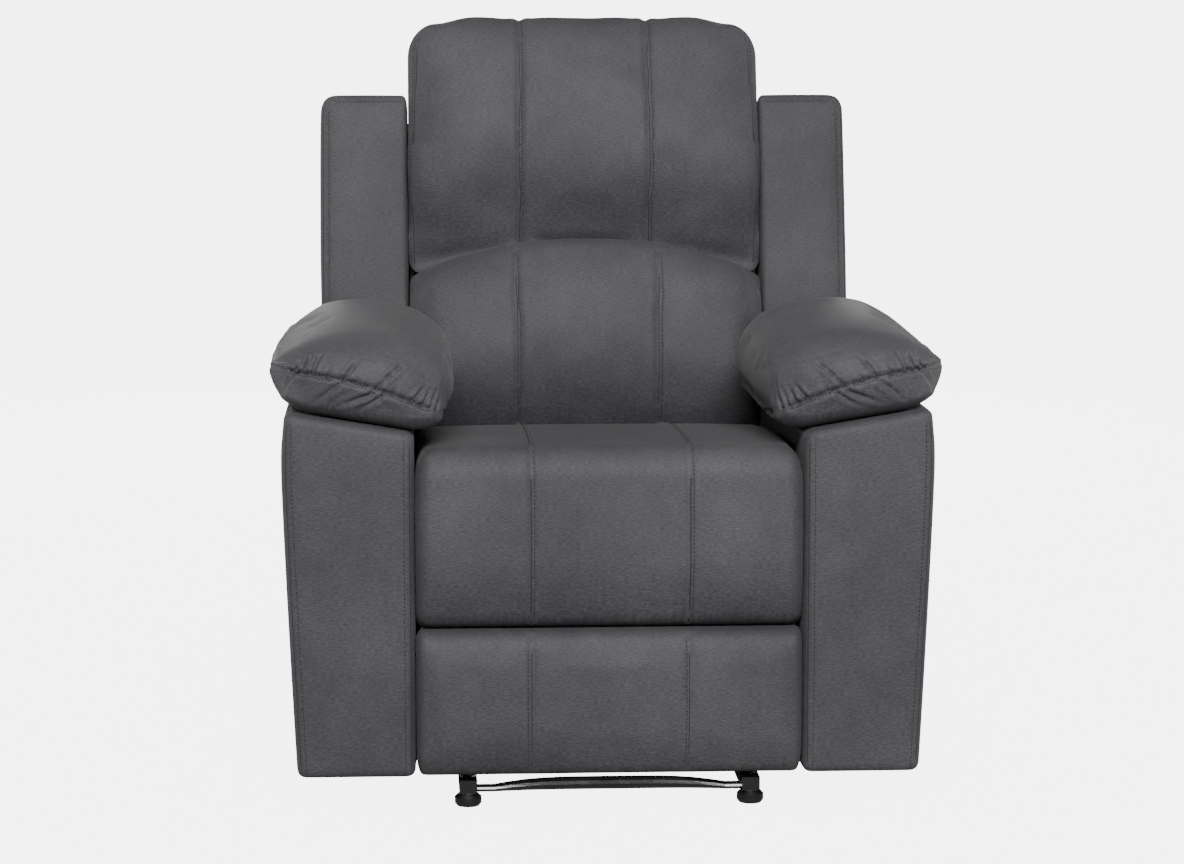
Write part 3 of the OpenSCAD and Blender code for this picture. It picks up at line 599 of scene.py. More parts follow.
class Sewing:
    """Stitches and strips of painted seam shade laid on a piece's surface, as one mesh."""

    def __init__(self, obj):
        self.obj = obj
        self.co = []
        self.faces = []
        self.kinds = []
        mesh = obj.data
        self.tree = BVHTree.FromPolygons([v.co for v in mesh.vertices],
                                         [p.vertices[:] for p in mesh.polygons])

    def snap(self, p):
        """The nearest place on the surface, and its normal."""
        hit, n, _, _ = self.tree.find_nearest(Vector(p))
        return np.array(hit), np.array(n)

    def struck(self, starts, aims):
        """Where rays meet the surface; a ray that misses is left out."""
        hits = [self.tree.ray_cast(Vector(a), Vector(d))[0] for a, d in zip(starts, aims)]
        return [np.array(h) for h in hits if h is not None]

    def path(self, points, offset, step):
        """Points beside a line, on the surface, with their normals."""
        line = relaxed(resample(points, step), 12)
        ahead = np.gradient(line, axis=0)
        spots, ups = [], []
        for p, t in zip(line, ahead):
            hit, n = self.snap(p)
            side = np.cross(t, n)
            side /= max(np.linalg.norm(side), 1e-9)
            hit, n = self.snap(hit + side * offset)
            spots.append(hit)
            ups.append(n)
        return relaxed(spots, 4), relaxed(ups, 4)

    def strip(self, spots, ups, width, height, kind, sink=0.0):
        """A low rounded strip along spots."""
        ahead = np.gradient(spots, axis=0)
        base = len(self.co)
        ring = [(-0.5, -0.3), (-0.36, 0.72), (0.36, 0.72), (0.5, -0.3)]
        n = len(spots)
        for p, u, t in zip(spots, ups, ahead):
            side = np.cross(t, u)
            side /= max(np.linalg.norm(side), 1e-9)
            for a, b in ring:
                self.co.append(p + side * a * width + u * (b * height - sink))
        for i in range(n - 1):
            for j in range(4):
                a = base + 4 * i + j
                b = base + 4 * i + (j + 1) % 4
                self.faces.append([a, b, b + 4, a + 4])
                self.kinds.append(kind)
        self.faces.append([base + 3, base + 2, base + 1, base])
        self.faces.append([base + 4 * (n - 1) + j for j in range(4)])
        self.kinds += [kind, kind]

    def seam(self, points, width=0.0016, offset=0.0):
        """A thin strip of painted shade where two panels meet."""
        spots, ups = self.path(points, offset, 0.006)
        self.strip(spots, ups, width, 0.0007, 1, 0.0002)

    def stitches(self, points, offset, length=0.0034, gap=0.0020, width=0.0014, height=0.0008):
        """A row of stitches beside a line."""
        spots, ups = self.path(points, offset, (length + gap) / 2)
        for i in range(0, len(spots) - 2, 2):
            self.strip(spots[i:i + 2], ups[i:i + 2], width, height, 0)

    def finish(self, name, body=None, blend=None):
        """The stitches and the strips of painted seam shade as one piece, ridden on the body, or baked
        in place when blend is given.
        """
        obj = new_piece(name, self.co, self.faces, THREAD)
        obj.data.materials.append(SEAM_SHADE)
        obj.data.polygons.foreach_set("material_index", self.kinds)
        settle(obj, body, blend)
        return obj


def settle(obj, body=None, blend=None):
    """Rides a piece on its body; given blend, it only bakes the piece's transform into its mesh."""
    if blend:
        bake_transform(obj)
    else:
        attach(obj, body)


def both_threads(sewing, name, body):
    """The stitching of a left piece, and its right twin."""
    threads = sewing.finish("left_" + name, body)
    twin = mirrored(threads, "right_" + name)
    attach(twin, body)


def soft(obj, body=None, nodes=(), fill=0.8, blend=None):
    if nodes:
        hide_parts(*nodes)
    settle(obj, body, blend)
    return obj


def sewn_channels(obj, lines, depth, ridge=0.0006, width=0.0042, offset=0.0052, first=1, last=-1):
    """Softens a cushion, sinks its panel seams and lays a strip of painted seam shade and a stitch row
    on each.
    """
    subdivide(obj)
    groove(obj, [resample(l, 0.004) for l in lines], depth, width, ridge)
    sewing = Sewing(obj)
    for line in lines:
        sewing.seam(line[first:last])
        sewing.stitches(line[first:last], offset)
    return sewing


def mirrored(obj, name):
    """A left piece's right twin."""
    co = coords(obj)
    co[:, 0] *= -1
    faces = [list(p.vertices)[::-1] for p in obj.data.polygons]
    twin = new_piece(name, co, faces, obj.data.materials[0])
    for m in list(obj.data.materials)[1:]:
        twin.data.materials.append(m)
    kinds = [p.material_index for p in obj.data.polygons]
    twin.data.polygons.foreach_set("material_index", kinds)
    return twin


# ---------- seat and front pad

seat_lo, seat_hi = both("seat_cushion")
pad_lo, pad_hi = both("front_pad_cushion")
ROLL = 0.040          # radius of the seat's front roll
SEAT_UNDER = 0.3735   # underside of the seat's foam
FOLD_AXIS = np.array([pad_lo[1] + ROLL, seat_hi[2] - ROLL])
CREASE_Z = float(pad_lo[2])
ARM_INNER = float(both("left_arm_cover")[0][0])
SEAT_HALF = ARM_INNER - 0.0006
SEAT_BLEND = ("seat", "front_pad", (0, FOLD_AXIS[0] + 0.024, FOLD_AXIS[1] + 0.012),
              (0, FOLD_AXIS[0] - 0.022, FOLD_AXIS[1] - 0.034))


def seat_profile():
    """Matching outer and inner points (y, z) from the seat's rear edge round to the crease."""
    fy, fz = FOLD_AXIS
    rear_y = seat_hi[1] - 0.001
    top = [(rear_y, 0.424), (0.04, 0.450), (-0.15, 0.470), (-0.30, 0.4765), (fy + 0.004, fz + ROLL)]
    under = [(y, SEAT_UNDER) for y in (rear_y, 0.04, -0.15, -0.30, fy + 0.0275)]
    for a in np.linspace(0, math.pi / 2, 7)[1:]:
        top.append((fy - ROLL * math.sin(a), fz + ROLL * math.cos(a)))
        share = a / (math.pi / 2)
        bump = 0.022 * math.sin(math.pi * share)
        under.append((fy + 0.0275 - 0.0145 * share, SEAT_UNDER + bump))
    for z in np.linspace(fz - 0.020, CREASE_Z - 0.0025, 9):
        down = np.clip((0.335 - z) / 0.095, 0, 1)
        belly = 0.0060 * math.sin(math.pi * (fz - z) / 0.2)
        top.append((fy - ROLL - belly + 0.024 * down ** 2, z))
        under.append((fy + 0.013, min(z, 0.366)))
    return np.array(top), np.array(under)


def make_seat():
    """The seat and calf pad in one cover that rolls over the seat's front."""
    top, under = seat_profile()
    run = np.concatenate([[0], np.cumsum(np.linalg.norm(np.diff(top, axis=0), axis=1))])
    total = run[-1]
    seam_u = SEAM_X / SEAT_HALF
    us = ladder([(-1, 7), (-0.86, 16), (-seam_u, 24), (seam_u, 16), (0.86, 7), (1, 0)])
    vs = np.linspace(-1, 1, 97)
    ws = ladder([(-1, 5), (0, 6), (1, 0)])
    g = Lattice(us, vs, ws)
    p = g.p
    top_side = p[:, 2] > 0
    q = rounded(p, np.column_stack([np.where(top_side, 0.085, 0.03),
                                    np.where(p[:, 1] < 0, 0.03, 0.045),
                                    np.where(top_side, 0.95, 0.2)]))
    s = (q[:, 1] + 1) / 2 * total
    t = (q[:, 2] + 1) / 2
    outer = np.stack([np.interp(s, run, top[:, i]) for i in (0, 1)], axis=1)
    inner = np.stack([np.interp(s, run, under[:, i]) for i in (0, 1)], axis=1)
    out = outer - inner
    out /= np.linalg.norm(out, axis=1, keepdims=True)
    yz = inner + (outer - inner) * t[:, None]
    puff = bell(q[:, 0], 4) * bell(q[:, 1], 6) * np.clip(q[:, 2], 0, 1)
    yz += out * (0.0045 * puff)[:, None]
    co = np.column_stack([q[:, 0] * SEAT_HALF, yz])
    obj = new_piece("seat_cover", co, g.faces)
    held = np.where(p[:, 2] < -0.05, 1.0, 0.0)
    held = np.maximum(held, np.where(p[:, 1] > 0.999, 0.9, 0))
    held = np.maximum(held, np.where(p[:, 1] < -0.999, 1.0, 0))
    for side in (-1, 1):
        held[g.line(0, side * seam_u, 2, 1)] = 0.85
        held[abs(p[:, 0] - side) < 1e-6] = 1.0
    swell(obj, held, pressure=3.0, cap=0.006, shrink=0.010)
    co = coords(obj)
    lines = [co[g.line(0, side * seam_u, 2, 1)] for side in (-1, 1)]
    sewing = sewn_channels(obj, lines, 0.0024, first=4)
    soft(obj, nodes=("seat_cushion", "front_pad_cushion"), fill=0.85, blend=SEAT_BLEND)
    sewing.finish("seat_stitching", blend=SEAT_BLEND)


# ---------- footrest pad

def make_footrest():
    """The footrest pad, whose top edge follows the calf pad at the crease."""
    lo, hi = both("footrest_cushion")
    hinge_y = FOLD_AXIS[0] + 0.030
    bend = ("front_pad", "footrest", (0, hinge_y, hi[2] + 0.001), (0, hinge_y, hi[2] - 0.042))
    hi[2] += 0.0045
    mid = (lo + hi) / 2
    size = (hi - lo) / 2
    size[0] = SEAT_HALF
    seam_u = SEAM_X / SEAT_HALF
    us = ladder([(-1, 6), (-0.88, 16), (-seam_u, 24), (seam_u, 16), (0.88, 6), (1, 0)])
    vs = ladder([(-1, 4), (1, 0)])
    ws = np.linspace(-1, 1, 27)
    g = Lattice(us, vs, ws)
    p = g.p
    front = p[:, 1] < 0
    q = rounded(p, np.column_stack([np.where(front, 0.05, 0.02), np.where(front, 0.8, 0.1),
                                    np.where(p[:, 2] > 0, 0.26, 0.42)]))
    co = mid + q * size
    puff = bell(q[:, 0], 4) * bell(q[:, 2] - 0.1, 2) * np.clip(-q[:, 1], 0, 1)
    co[:, 1] -= 0.004 * puff
    obj = new_piece("footrest_cover", co, g.faces)
    held = np.where(p[:, 1] > -0.1, 1.0, 0.0)
    for side in (-1, 1):
        held[g.line(0, side * seam_u, 1, -1)] = 0.85
        held[abs(p[:, 0] - side) < 1e-6] = 1.0
        held[abs(p[:, 2] - side) < 1e-6] = 0.9
    swell(obj, held, pressure=3.0, cap=0.005, shrink=0.012)
    co = coords(obj)
    lines = [co[g.line(0, side * seam_u, 1, -1)] for side in (-1, 1)]
    sewing = sewn_channels(obj, lines, 0.0022, offset=-0.0052)
    soft(obj, nodes=("footrest_cushion",), fill=0.8, blend=bend)
    sewing.finish("footrest_stitching", blend=bend)


def make_crease_lining():
    """The strip of cloth behind the crease, which closes it to the light."""
    y = FOLD_AXIS[0] + 0.004
    hinge_y = FOLD_AXIS[0] + 0.030
    bend = ("front_pad", "footrest", (0, hinge_y, CREASE_Z + 0.001), (0, hinge_y, CREASE_Z - 0.042))
    half = SEAT_HALF - 0.006
    strip = panel("crease_lining", (-half, y - 0.002, CREASE_Z - 0.022),
                  (half, y + 0.002, CREASE_Z + 0.020), (30, 2, 6), (0.02, 0.5, 0.1), 0.0,
                  lambda c: c)
    soft(strip, fill=0, blend=bend)


# ---------- lumbar cushion

ARC_TOP = 0.352


def arc_drop(x, half, deep):
    """How far the line between the two back cushions falls from its crown."""
    return deep * np.minimum(abs(x) / half, 1.0) ** 2.2


def make_lumbar():
    """The lumbar cushion: three panels under an arched top."""
    half, low, high = 0.2568, 0.068, ARC_TOP + 0.004
    front, rear = -0.158, -0.031
    seam_u = 0.103 / half
    us = ladder([(-1, 8), (-0.82, 15), (-seam_u, 24), (seam_u, 15), (0.82, 8), (1, 0)])
    vs = ladder([(-1, 7), (0, 5), (1, 0)])
    ws = np.linspace(-1, 1, 37)
    g = Lattice(us, vs, ws)
    p = g.p
    face = p[:, 1] < 0
    q = rounded(p, np.column_stack([np.where(face, 0.17, 0.05), np.where(face, 0.95, 0.15),
                                    np.where(face, np.where(p[:, 2] > 0, 0.42, 0.25), 0.1)]))
    x = q[:, 0] * (half + 0.0060 * smooth((p[:, 2] - 0.14) / 0.2))
    y = (front + rear) / 2 + q[:, 1] * (rear - front) / 2
    t = (q[:, 2] + 1) / 2
    z = low + (high - arc_drop(x, half, 0.052) - low) * t
    belly = bell(q[:, 0], 3) * np.exp(-((t - 0.46) / 0.42) ** 2) * np.clip(-q[:, 1], 0, 1)
    ahead = np.clip(-q[:, 1], 0, 1)
    y += 0.012 * ahead - 0.012 * belly + 0.034 * ahead * smooth((0.42 - t) / 0.42) ** 1.5
    obj = new_piece("lumbar_cover", leaned(np.column_stack([x, y, z])), g.faces)
    held = np.where(p[:, 1] > -0.1, 1.0, 0.0)
    for side in (-1, 1):
        held[g.line(0, side * seam_u, 1, -1)] = 0.8
        held[abs(p[:, 0] - side) < 1e-6] = 0.95
        held[abs(p[:, 2] - side) < 1e-6] = 0.9
    swell(obj, held, pressure=3.5, cap=0.008, shrink=0.010)
    co = coords(obj)
    lines = [co[g.line(0, side * seam_u, 1, -1)] for side in (-1, 1)]
    sewing = sewn_channels(obj, lines, 0.003, 0.0008, 0.0048)
    soft(obj, "back", ("lumbar_cushion",), 0.85)
    sewing.finish("lumbar_stitching", "back")


# ---------- head pillow

def make_head():
    """The head pillow: three panels that turn under along the arch."""
    half, high = 0.2638, 0.7005
    front, rear = -0.121, -0.0285
    seam_u = HEAD_SEAM_X / half
    us = ladder([(-1, 9), (-0.82, 16), (-seam_u, 24), (seam_u, 16), (0.82, 9), (1, 0)])
    vs = ladder([(-1, 8), (0, 6), (1, 0)])
    ws = np.linspace(-1, 1, 51)
    g = Lattice(us, vs, ws)
    p = g.p
    upper = p[:, 2] > 0
    q = rounded(p, np.column_stack([np.where(upper, 0.17, 0.10), np.where(p[:, 1] < 0, 0.85, 0.8),
                                    np.where(upper, 0.27, 0.18)]))
    x = q[:, 0] * half
    low = ARC_TOP - 0.002 - arc_drop(x, half, 0.050)
    t = (q[:, 2] + 1) / 2
    scallop = 0.003 * np.exp(-((abs(x) - HEAD_SEAM_X) / 0.03) ** 2)
    scallop += 0.011 * smooth((abs(x) - 0.16) / 0.09)
    top = high - scallop
    z = low + (top - low) * t
    y = (front + rear) / 2 + q[:, 1] * (rear - front) / 2
    ahead = np.clip(-q[:, 1], 0, 1)
    full = bell(q[:, 0], 4)
    y += ahead * (0.020 * smooth((t - 0.55) / 0.45) - 0.006 * full * np.sin(math.pi * t))
    y += ahead * (0.008 * (1 - full) + 0.058 * smooth((0.50 - t) / 0.50) ** 1.5)
    x *= 1 + 0.013 * smooth((-0.086 - y) / 0.008) * smooth((0.60 - z) / 0.03)
    obj = new_piece("head_cover", leaned(np.column_stack([x, y, z])), g.faces)
    held = np.where(p[:, 1] > 0.2, 1.0, 0.0)
    held = np.where((p[:, 1] > 0.2) & (t > 0.8), 0.4, held)
    for side in (-1, 1):
        held[g.line(0, side * seam_u, 1, -1)] = 0.8
        held[g.line(0, side * seam_u, 2, 1)] = 0.8
        held[abs(p[:, 0] - side) < 1e-6] = 0.95
    held[p[:, 2] < -0.999] = 0.9
    swell(obj, held, pressure=4.0, cap=0.009, shrink=0.012)
    co = coords(obj)
    lines = []
    for side in (-1, 1):
        face = g.line(0, side * seam_u, 1, -1)
        crown = g.line(0, side * seam_u, 2, 1)
        lines.append(co[face + crown[1:]])
    sewing = sewn_channels(obj, lines, 0.0034, 0.0008, 0.005, last=None)
    for i in (0, len(us) - 1):
        edge = co[[g.ids[(i, 0, k)] for k in range(2, len(ws) - 1)]]
        sewing.seam(edge)
        sewing.stitches(edge, 0.0045 if i else -0.0045)
    soft(obj, "back", ("head_pillow",), 0.85)
    sewing.finish("head_stitching", "back")


# ---------- arm pads

PAD_IN = 0.199
PAD_SEAM_IN = 0.214


def pad_seam_height(x):
    """Height of the sewn line across the front of an arm pad."""
    across = [PAD_SEAM_IN, 0.223, 0.243, 0.276, 0.311, 0.341, 0.367, 0.393, 0.423, 0.446]
    height = [0.513, 0.5245, 0.536, 0.551, 0.564, 0.5725, 0.578, 0.5815, 0.584, 0.585]
    return np.interp(x, across, height)


def pad_shape(p, lo, hi, arm_lo, arm_hi):
    """Places lattice points on the full, egg-ended form of the left arm's pad."""
    below = smooth(-p[:, 2])
    radii = np.column_stack([0.88 - 0.38 * below, np.where(p[:, 1] < 0, 0.27 - 0.11 * below, 0.2),
                             np.full(len(p), 0.94)])
    u, v, w = rounded(p, radii).T
    y = lo[1] + 0.003 + (v + 1) / 2 * (hi[1] - lo[1] - 0.006)
    past = np.clip((y - lo[1]) / (hi[1] - lo[1]), 0, 1)
    inner = PAD_IN + 0.010 * (1 - smooth(past / 0.25)) + 0.062 * smooth((past - 0.62) / 0.36)
    outer = hi[0] - 0.0015 - 0.006 * smooth((past - 0.5) / 0.5)
    x = (inner + outer) / 2 + (outer - inner) / 2 * u
    rise = np.clip(past / 0.46, 0, 1)
    crest = hi[2] - 0.005 - 0.025 * (1 - rise) ** 2.2 - 0.030 * smooth((past - 0.55) / 0.45) ** 1.3
    crest -= 0.014 * np.clip((0.335 - x) / 0.135, 0, 1) ** 1.5
    fall = np.clip((arm_hi[0] - x) / (arm_hi[0] - arm_lo[0]), -0.1, 1.0)
    floor = 0.5325 - 0.0295 * fall - 0.006 * smooth((arm_lo[0] - x) / 0.03)
    middle = 0.574 + 0.05 * (x - 0.32) - 0.014 * smooth((0.30 - x) / 0.10)
    z = np.where(w > 0, middle + (crest - middle) * w, middle + (middle - floor) * w)
    return np.column_stack([x, y, z])


def make_arm_pad():
    """The two stuffed arm pads, with the sewn line and its gathers across the front."""
    lo, hi = both("left_arm_pad")
    arm_lo, arm_hi = both("left_arm_cover")
    us = np.linspace(-1, 1, 67)
    vs = ladder([(-1, 40), (-0.4, 12), (0, 14), (1, 0)])
    ws = ladder([(-1, 14), (0, 26), (1, 0)])
    g = Lattice(us, vs, ws)
    p = g.p
    obj = new_piece("left_arm_pad_cover", pad_shape(p, lo, hi, arm_lo, arm_hi), g.faces)
    held = np.where(p[:, 2] < -0.9, 1.0, 0.0)
    held[p[:, 1] > 0.98] = np.maximum(held[p[:, 1] > 0.98], 0.6)
    x, y, z = coords(obj).T
    sewn_z = pad_seam_height(x)
    near = np.exp(-((z - sewn_z) / 0.006) ** 2) * ((p[:, 1] < -0.98) | (p[:, 0] > 0.98))
    held = np.maximum(held, np.round(0.8 * near, 1))
    swell(obj, held, pressure=3.0, cap=0.005, shrink=0.015)
    subdivide(obj)
    sewn = Sewing(obj)
    outer = hi[0] - 0.002
    xs = np.linspace(outer, PAD_SEAM_IN, 90)
    aims = [(0, 1, 0) if x < outer - 0.02 else (-0.5, 0.86, 0) for x in xs]
    starts = [(x - 0.1 * d[0], lo[1] - 0.02 - 0.1 * d[1], pad_seam_height(x)) for x, d in zip(xs, aims)]
    front = sewn.struck(starts, aims)
    ys = np.linspace(front[0][1] + 0.006, hi[1] - 0.03, 70)
    back = sewn.struck([(0.6, y, front[0][2]) for y in ys], [(-1, 0, 0)] * len(ys))
    ys = np.linspace(front[-1][1] + 0.006, hi[1] - 0.12, 60)
    under = sewn.struck([(0.0, y, 0.5135) for y in ys], [(1, 0, 0)] * len(ys))
    line = relaxed(np.array(back[::-1] + front + under), 24)
    front = relaxed(np.array(front), 6)
    # Gathers above the front seam: place along it, length, lean towards the seat, depth
    gathers = [(0.05, 0.018, 0.1, 1.6), (0.11, 0.024, 0.2, 2.0), (0.165, 0.040, 0.30, 3.0),
               (0.21, 0.050, 0.35, 3.6), (0.26, 0.036, 0.40, 2.8), (0.33, 0.020, 0.45, 1.6),
               (0.425, 0.040, 0.85, 3.2), (0.50, 0.018, 0.6, 1.4), (0.605, 0.058, 1.15, 4.2),
               (0.70, 0.020, 0.7, 1.6), (0.815, 0.034, 1.0, 3.0), (0.87, 0.036, 0.7, 2.6),
               (0.91, 0.046, 0.5, 2.8), (0.945, 0.054, 0.2, 3.0), (0.975, 0.050, -0.1, 2.6)]
    for at, length, lean, deep in gathers:
        a = front[int(at * (len(front) - 1))]
        way = np.array([-lean, 0.35, 1.0])
        b = a + way / np.linalg.norm(way) * length
        fold(obj, a + (b - a) * 0.04, b, 0.0019 * deep, 0.0031)
    # Folds below it, leaning away from the seat
    for at, length, lean, deep in ((0.09, 0.026, 0.5, 2.2), (0.41, 0.056, 1.2, 2.8),
                                   (0.62, 0.076, 2.4, 3.4), (0.66, 0.046, 1.6, 2.6)):
        a = front[int(at * (len(front) - 1))] - np.array([0, 0, 0.003])
        way = np.array([lean, 0.25, -1.0])
        b = a + way / np.linalg.norm(way) * length
        fold(obj, a, b, 0.0017 * deep, 0.0038)
    groove(obj, [resample(line, 0.003)], 0.0034, 0.0034, 0.0010)
    sewing = Sewing(obj)
    sewing.seam(line, 0.0013)
    sewing.stitches(line, 0.0042)
    sewing.stitches(line, -0.0042)
    twin = mirrored(obj, "right_arm_pad_cover")
    both_threads(sewing, "arm_pad_stitching", "base")
    soft(obj, "base", ("left_arm_pad",), 0.9)
    soft(twin, "base", ("right_arm_pad",), 0.9)


# ---------- arms

ARM_TOP = 0.532   # at its outer edge; it falls 30 mm towards the seat


def arm_taper(z):
    """How far the arm's outer side draws in towards the floor."""
    return 0.017 * np.clip((0.45 - z) / 0.41, 0, 1) ** 1.15


def make_arm():
    """The left arm's cover, tight over its boards, and its sewing."""
    lo, hi = both("left_arm_cover")
    slope_y, slope_z = 0.1895, 0.400
    us = ladder([(-1, 3), (-0.86, 14), (0.86, 3), (1, 0)])
    vs = ladder([(-1, 3), (-0.97, 46), (0.97, 3), (1, 0)])
    ws = ladder([(-1, 3), (-0.95, 36), (0.95, 3), (1, 0)])
    g = Lattice(us, vs, ws)
    p = g.p
    u, v, w = rounded(p, np.tile((0.16, 0.036, 0.05), (len(p), 1))).T
    y = (lo[1] + hi[1]) / 2 + v * (hi[1] - lo[1]) / 2
    t = (w + 1) / 2
    z = lo[2] + t * (ARM_TOP - lo[2])
    outer = hi[0] - arm_taper(z) - 0.004 * smooth((z - 0.47) / 0.06)
    x = lo[0] + (u + 1) / 2 * (outer - lo[0])
    fall = np.clip((hi[0] - x) / (hi[0] - lo[0]), 0, 1)
    slope = (ARM_TOP - slope_z) * np.clip((y - slope_y) / (hi[1] - slope_y), 0, 1)
    limit = ARM_TOP - np.maximum(0.030 * fall, slope)
    z = lo[2] + t * (limit - lo[2])
    y = y - (0.007 * bell(u, 2.5) * bell(w, 4) - 0.003) * (v < -0.9)
    x = x + 0.0035 * (u > 0.8) * bell(v, 3) * bell(w, 3)
    ahead = np.exp(-((y + 0.345) / 0.03) ** 2) * smooth((0.368 - z) / 0.02)
    lining = ahead + smooth((y - hi[1] + 0.075) / 0.025)
    x = x - 0.0032 * lining * (u < -0.8)
    obj = new_piece("left_arm_shell", np.column_stack([x, y, z]), g.faces)
    subdivide(obj)
    tall = np.linspace(lo[2] + 0.004, 0.515, 80)
    inner, outer = lo[0], hi[0] - arm_taper(tall)
    sewing = Sewing(obj)
    for edge in (inner + 0.0045, outer - 0.0045):
        sewing.seam(line_of(edge, lo[1] + 0.002, tall), 0.0014)
    for edge in (inner + 0.013, outer - 0.013):
        sewing.stitches(line_of(edge, lo[1] - 0.004, tall), 0.0)
    back = line_of(hi[0] - 0.004, 0.30, np.linspace(lo[2] + 0.01, 0.42, 40))
    sewing.seam(back, 0.0014)
    sewing.stitches(back, 0.006)
    return obj, sewing


def make_arms():
    """Both arms; the right one is open for the release cup."""
    obj, sewing = make_arm()
    twin = mirrored(obj, "right_arm_shell")
    both_threads(sewing, "arm_stitching", "base")
    soft(obj, "base", ("left_arm_cover",), 0.95)
    cup_lo, cup_hi = both("release_bezel")
    cut_hole(twin, cup_lo, cup_hi)
    soft(twin, "base", ("right_arm_cover",), 0.95)


def cut_hole(obj, lo, hi):
    """Opens the arm's side for the release cup."""
    inset = 0.0145
    a = np.array([lo[0] - 0.02, lo[1] + inset - 0.001, lo[2] + inset - 0.001])
    b = np.array([hi[0] + 0.002, hi[1] - inset + 0.001, hi[2] - inset + 0.001])
    co = [(x, y, z) for x in (a[0], b[0]) for y in (a[1], b[1]) for z in (a[2], b[2])]
    faces = [[0, 1, 3, 2], [4, 6, 7, 5], [0, 4, 5, 1], [2, 3, 7, 6], [0, 2, 6, 4], [1, 5, 7, 3]]
    cutter = new_piece("cutter", co, faces, CLOTH, False)
    m = obj.modifiers.new("cut", "BOOLEAN")
    m.object = cutter
    m.operation = "DIFFERENCE"
    m.solver = "EXACT"
    graph = bpy.context.evaluated_depsgraph_get()
    graph.update()
    mesh = bpy.data.meshes.new_from_object(obj.evaluated_get(graph))
    obj.modifiers.remove(m)
    obj.data = mesh
    bpy.data.objects.remove(cutter)


# ---------- wings and outside back

def make_wings():
    """The padded wings beside the pillow."""
    inner, outer, low, high = 0.2645, 0.3945, 0.243, 0.581
    front, rear = -0.082, 0.1025
    us = ladder([(-1, 3), (-0.84, 14), (0.84, 4), (1, 0)])
    vs = ladder([(-1, 3), (-0.9, 16), (0.9, 3), (1, 0)])
    ws = ladder([(-1, 3), (-0.93, 30), (0.86, 5), (1, 0)])
    g = Lattice(us, vs, ws)
    p = g.p
    radii = np.column_stack([np.where(p[:, 0] > 0, 0.32, 0.1), np.full(len(p), 0.12),
                             np.where(p[:, 2] > 0, 0.14, 0.05)])
    u, v, w = rounded(p, radii).T
    x = (inner + outer) / 2 + u * (outer - inner) / 2
    y = (front + rear) / 2 + v * (rear - front) / 2
    t = (w + 1) / 2
    z = low + (high - low) * t
    y = y - 0.006 * bell(u, 2.5) * bell(w, 6) * np.clip(-v, 0, 1)
    x = x + 0.003 * bell(v, 3) * bell(w, 4) * (u > 0.8)
    z = z + 0.003 * bell(u, 3) * bell(v, 3) * (w > 0.9)
    obj = new_piece("left_wing_cover", leaned(np.column_stack([x, y, z])), g.faces)
    subdivide(obj)
    tall = np.linspace(low + 0.01, high - 0.022, 60)
    wide = np.linspace(outer - 0.022, inner + 0.006, 26)
    sewing = Sewing(obj)
    sewing.stitches(leaned(line_of(outer - 0.011, front - 0.004, tall)), 0.0)
    sewing.stitches(leaned(line_of(wide, front - 0.004, high - 0.011)), 0.0)
    sewing.seam(leaned(line_of(outer - 0.003, front + 0.004, tall)), 0.0014)
    sewing.seam(leaned(line_of(outer + 0.004, rear - 0.012, tall)), 0.0014)
    twin = mirrored(obj, "right_wing_cover")
    both_threads(sewing, "wing_stitching", "back")
    soft(obj, "back", ("left_wing",), 0.9)
    soft(twin, "back", ("right_wing",), 0.9)


def panel(name, lo, hi, counts, radii, crown, placed, axis=1, side=1):
    """A padded panel with rounded edges that bows out on one face."""
    axes = [ladder([(-1, 2), (-0.96, n), (0.96, 2), (1, 0)]) for n in counts]
    g = Lattice(*axes)
    q = rounded(g.p, np.tile(radii, (len(g.p), 1)))
    lo, hi = np.array(lo), np.array(hi)
    co = (lo + hi) / 2 + q * (hi - lo) / 2
    others = [i for i in range(3) if i != axis]
    bow = bell(q[:, others[0]], 3) * bell(q[:, others[1]], 3) * np.clip(q[:, axis] * side, 0, 1)
    co[:, axis] += side * crown * bow
    obj = new_piece(name, placed(co), g.faces)
    return subdivide(obj)


def outline(lo, hi, y, inset):
    """A rectangle's outline at depth y, as one line."""
    a, b = np.array(lo) + inset, np.array(hi) - inset
    return np.array([[a[0], y, a[2]], [b[0], y, a[2]], [b[0], y, b[2]], [a[0], y, b[2]],
                     [a[0], y, a[2]]])


def make_back_shell():
    """Cloth over the back's rear, top and lower sides."""
    upper = panel("outside_back_upper", (-0.3925, 0.1020, 0.243), (0.3925, 0.1235, 0.5765),
                  (50, 3, 24), (0.03, 0.6, 0.05), 0.004, leaned)
    lower = panel("outside_back_lower", (-0.2540, 0.1035, -0.0095), (0.2540, 0.1225, 0.2425),
                  (36, 3, 20), (0.03, 0.6, 0.05), 0.003, leaned)
    roll = panel("back_top_roll", (-0.2638, -0.028, 0.5600), (0.2638, 0.1185, 0.6120),
                 (36, 14, 8), (0.04, 0.42, 0.95), 0.004, leaned, axis=2)
    for piece, nodes in ((upper, ("outside_back",)), (lower, ()), (roll, ())):
        soft(piece, "back", nodes, 0.9)
    for piece, half, low, high in ((upper, 0.3915, 0.243, 0.5755), (lower, 0.2540, -0.0095, 0.2425)):
        sewing = Sewing(piece)
        rect = outline((-half, 0, low), (half, 0, high), 0.130, 0.010)
        sewing.stitches(leaned(resample(rect, 0.004)), 0.0)
        sewing.finish(piece.name + "_stitching", "back")
    left = panel("left_back_side", (0.2495, -0.027, -0.0175), (0.2540, 0.1025, 0.2415),
                 (2, 12, 20), (0.5, 0.05, 0.04), 0.001, leaned, axis=0)
    twin = mirrored(left, "right_back_side")
    soft(left, "back", ("back_side_panels",), 0.7)
    soft(twin, "back", (), 0.7)


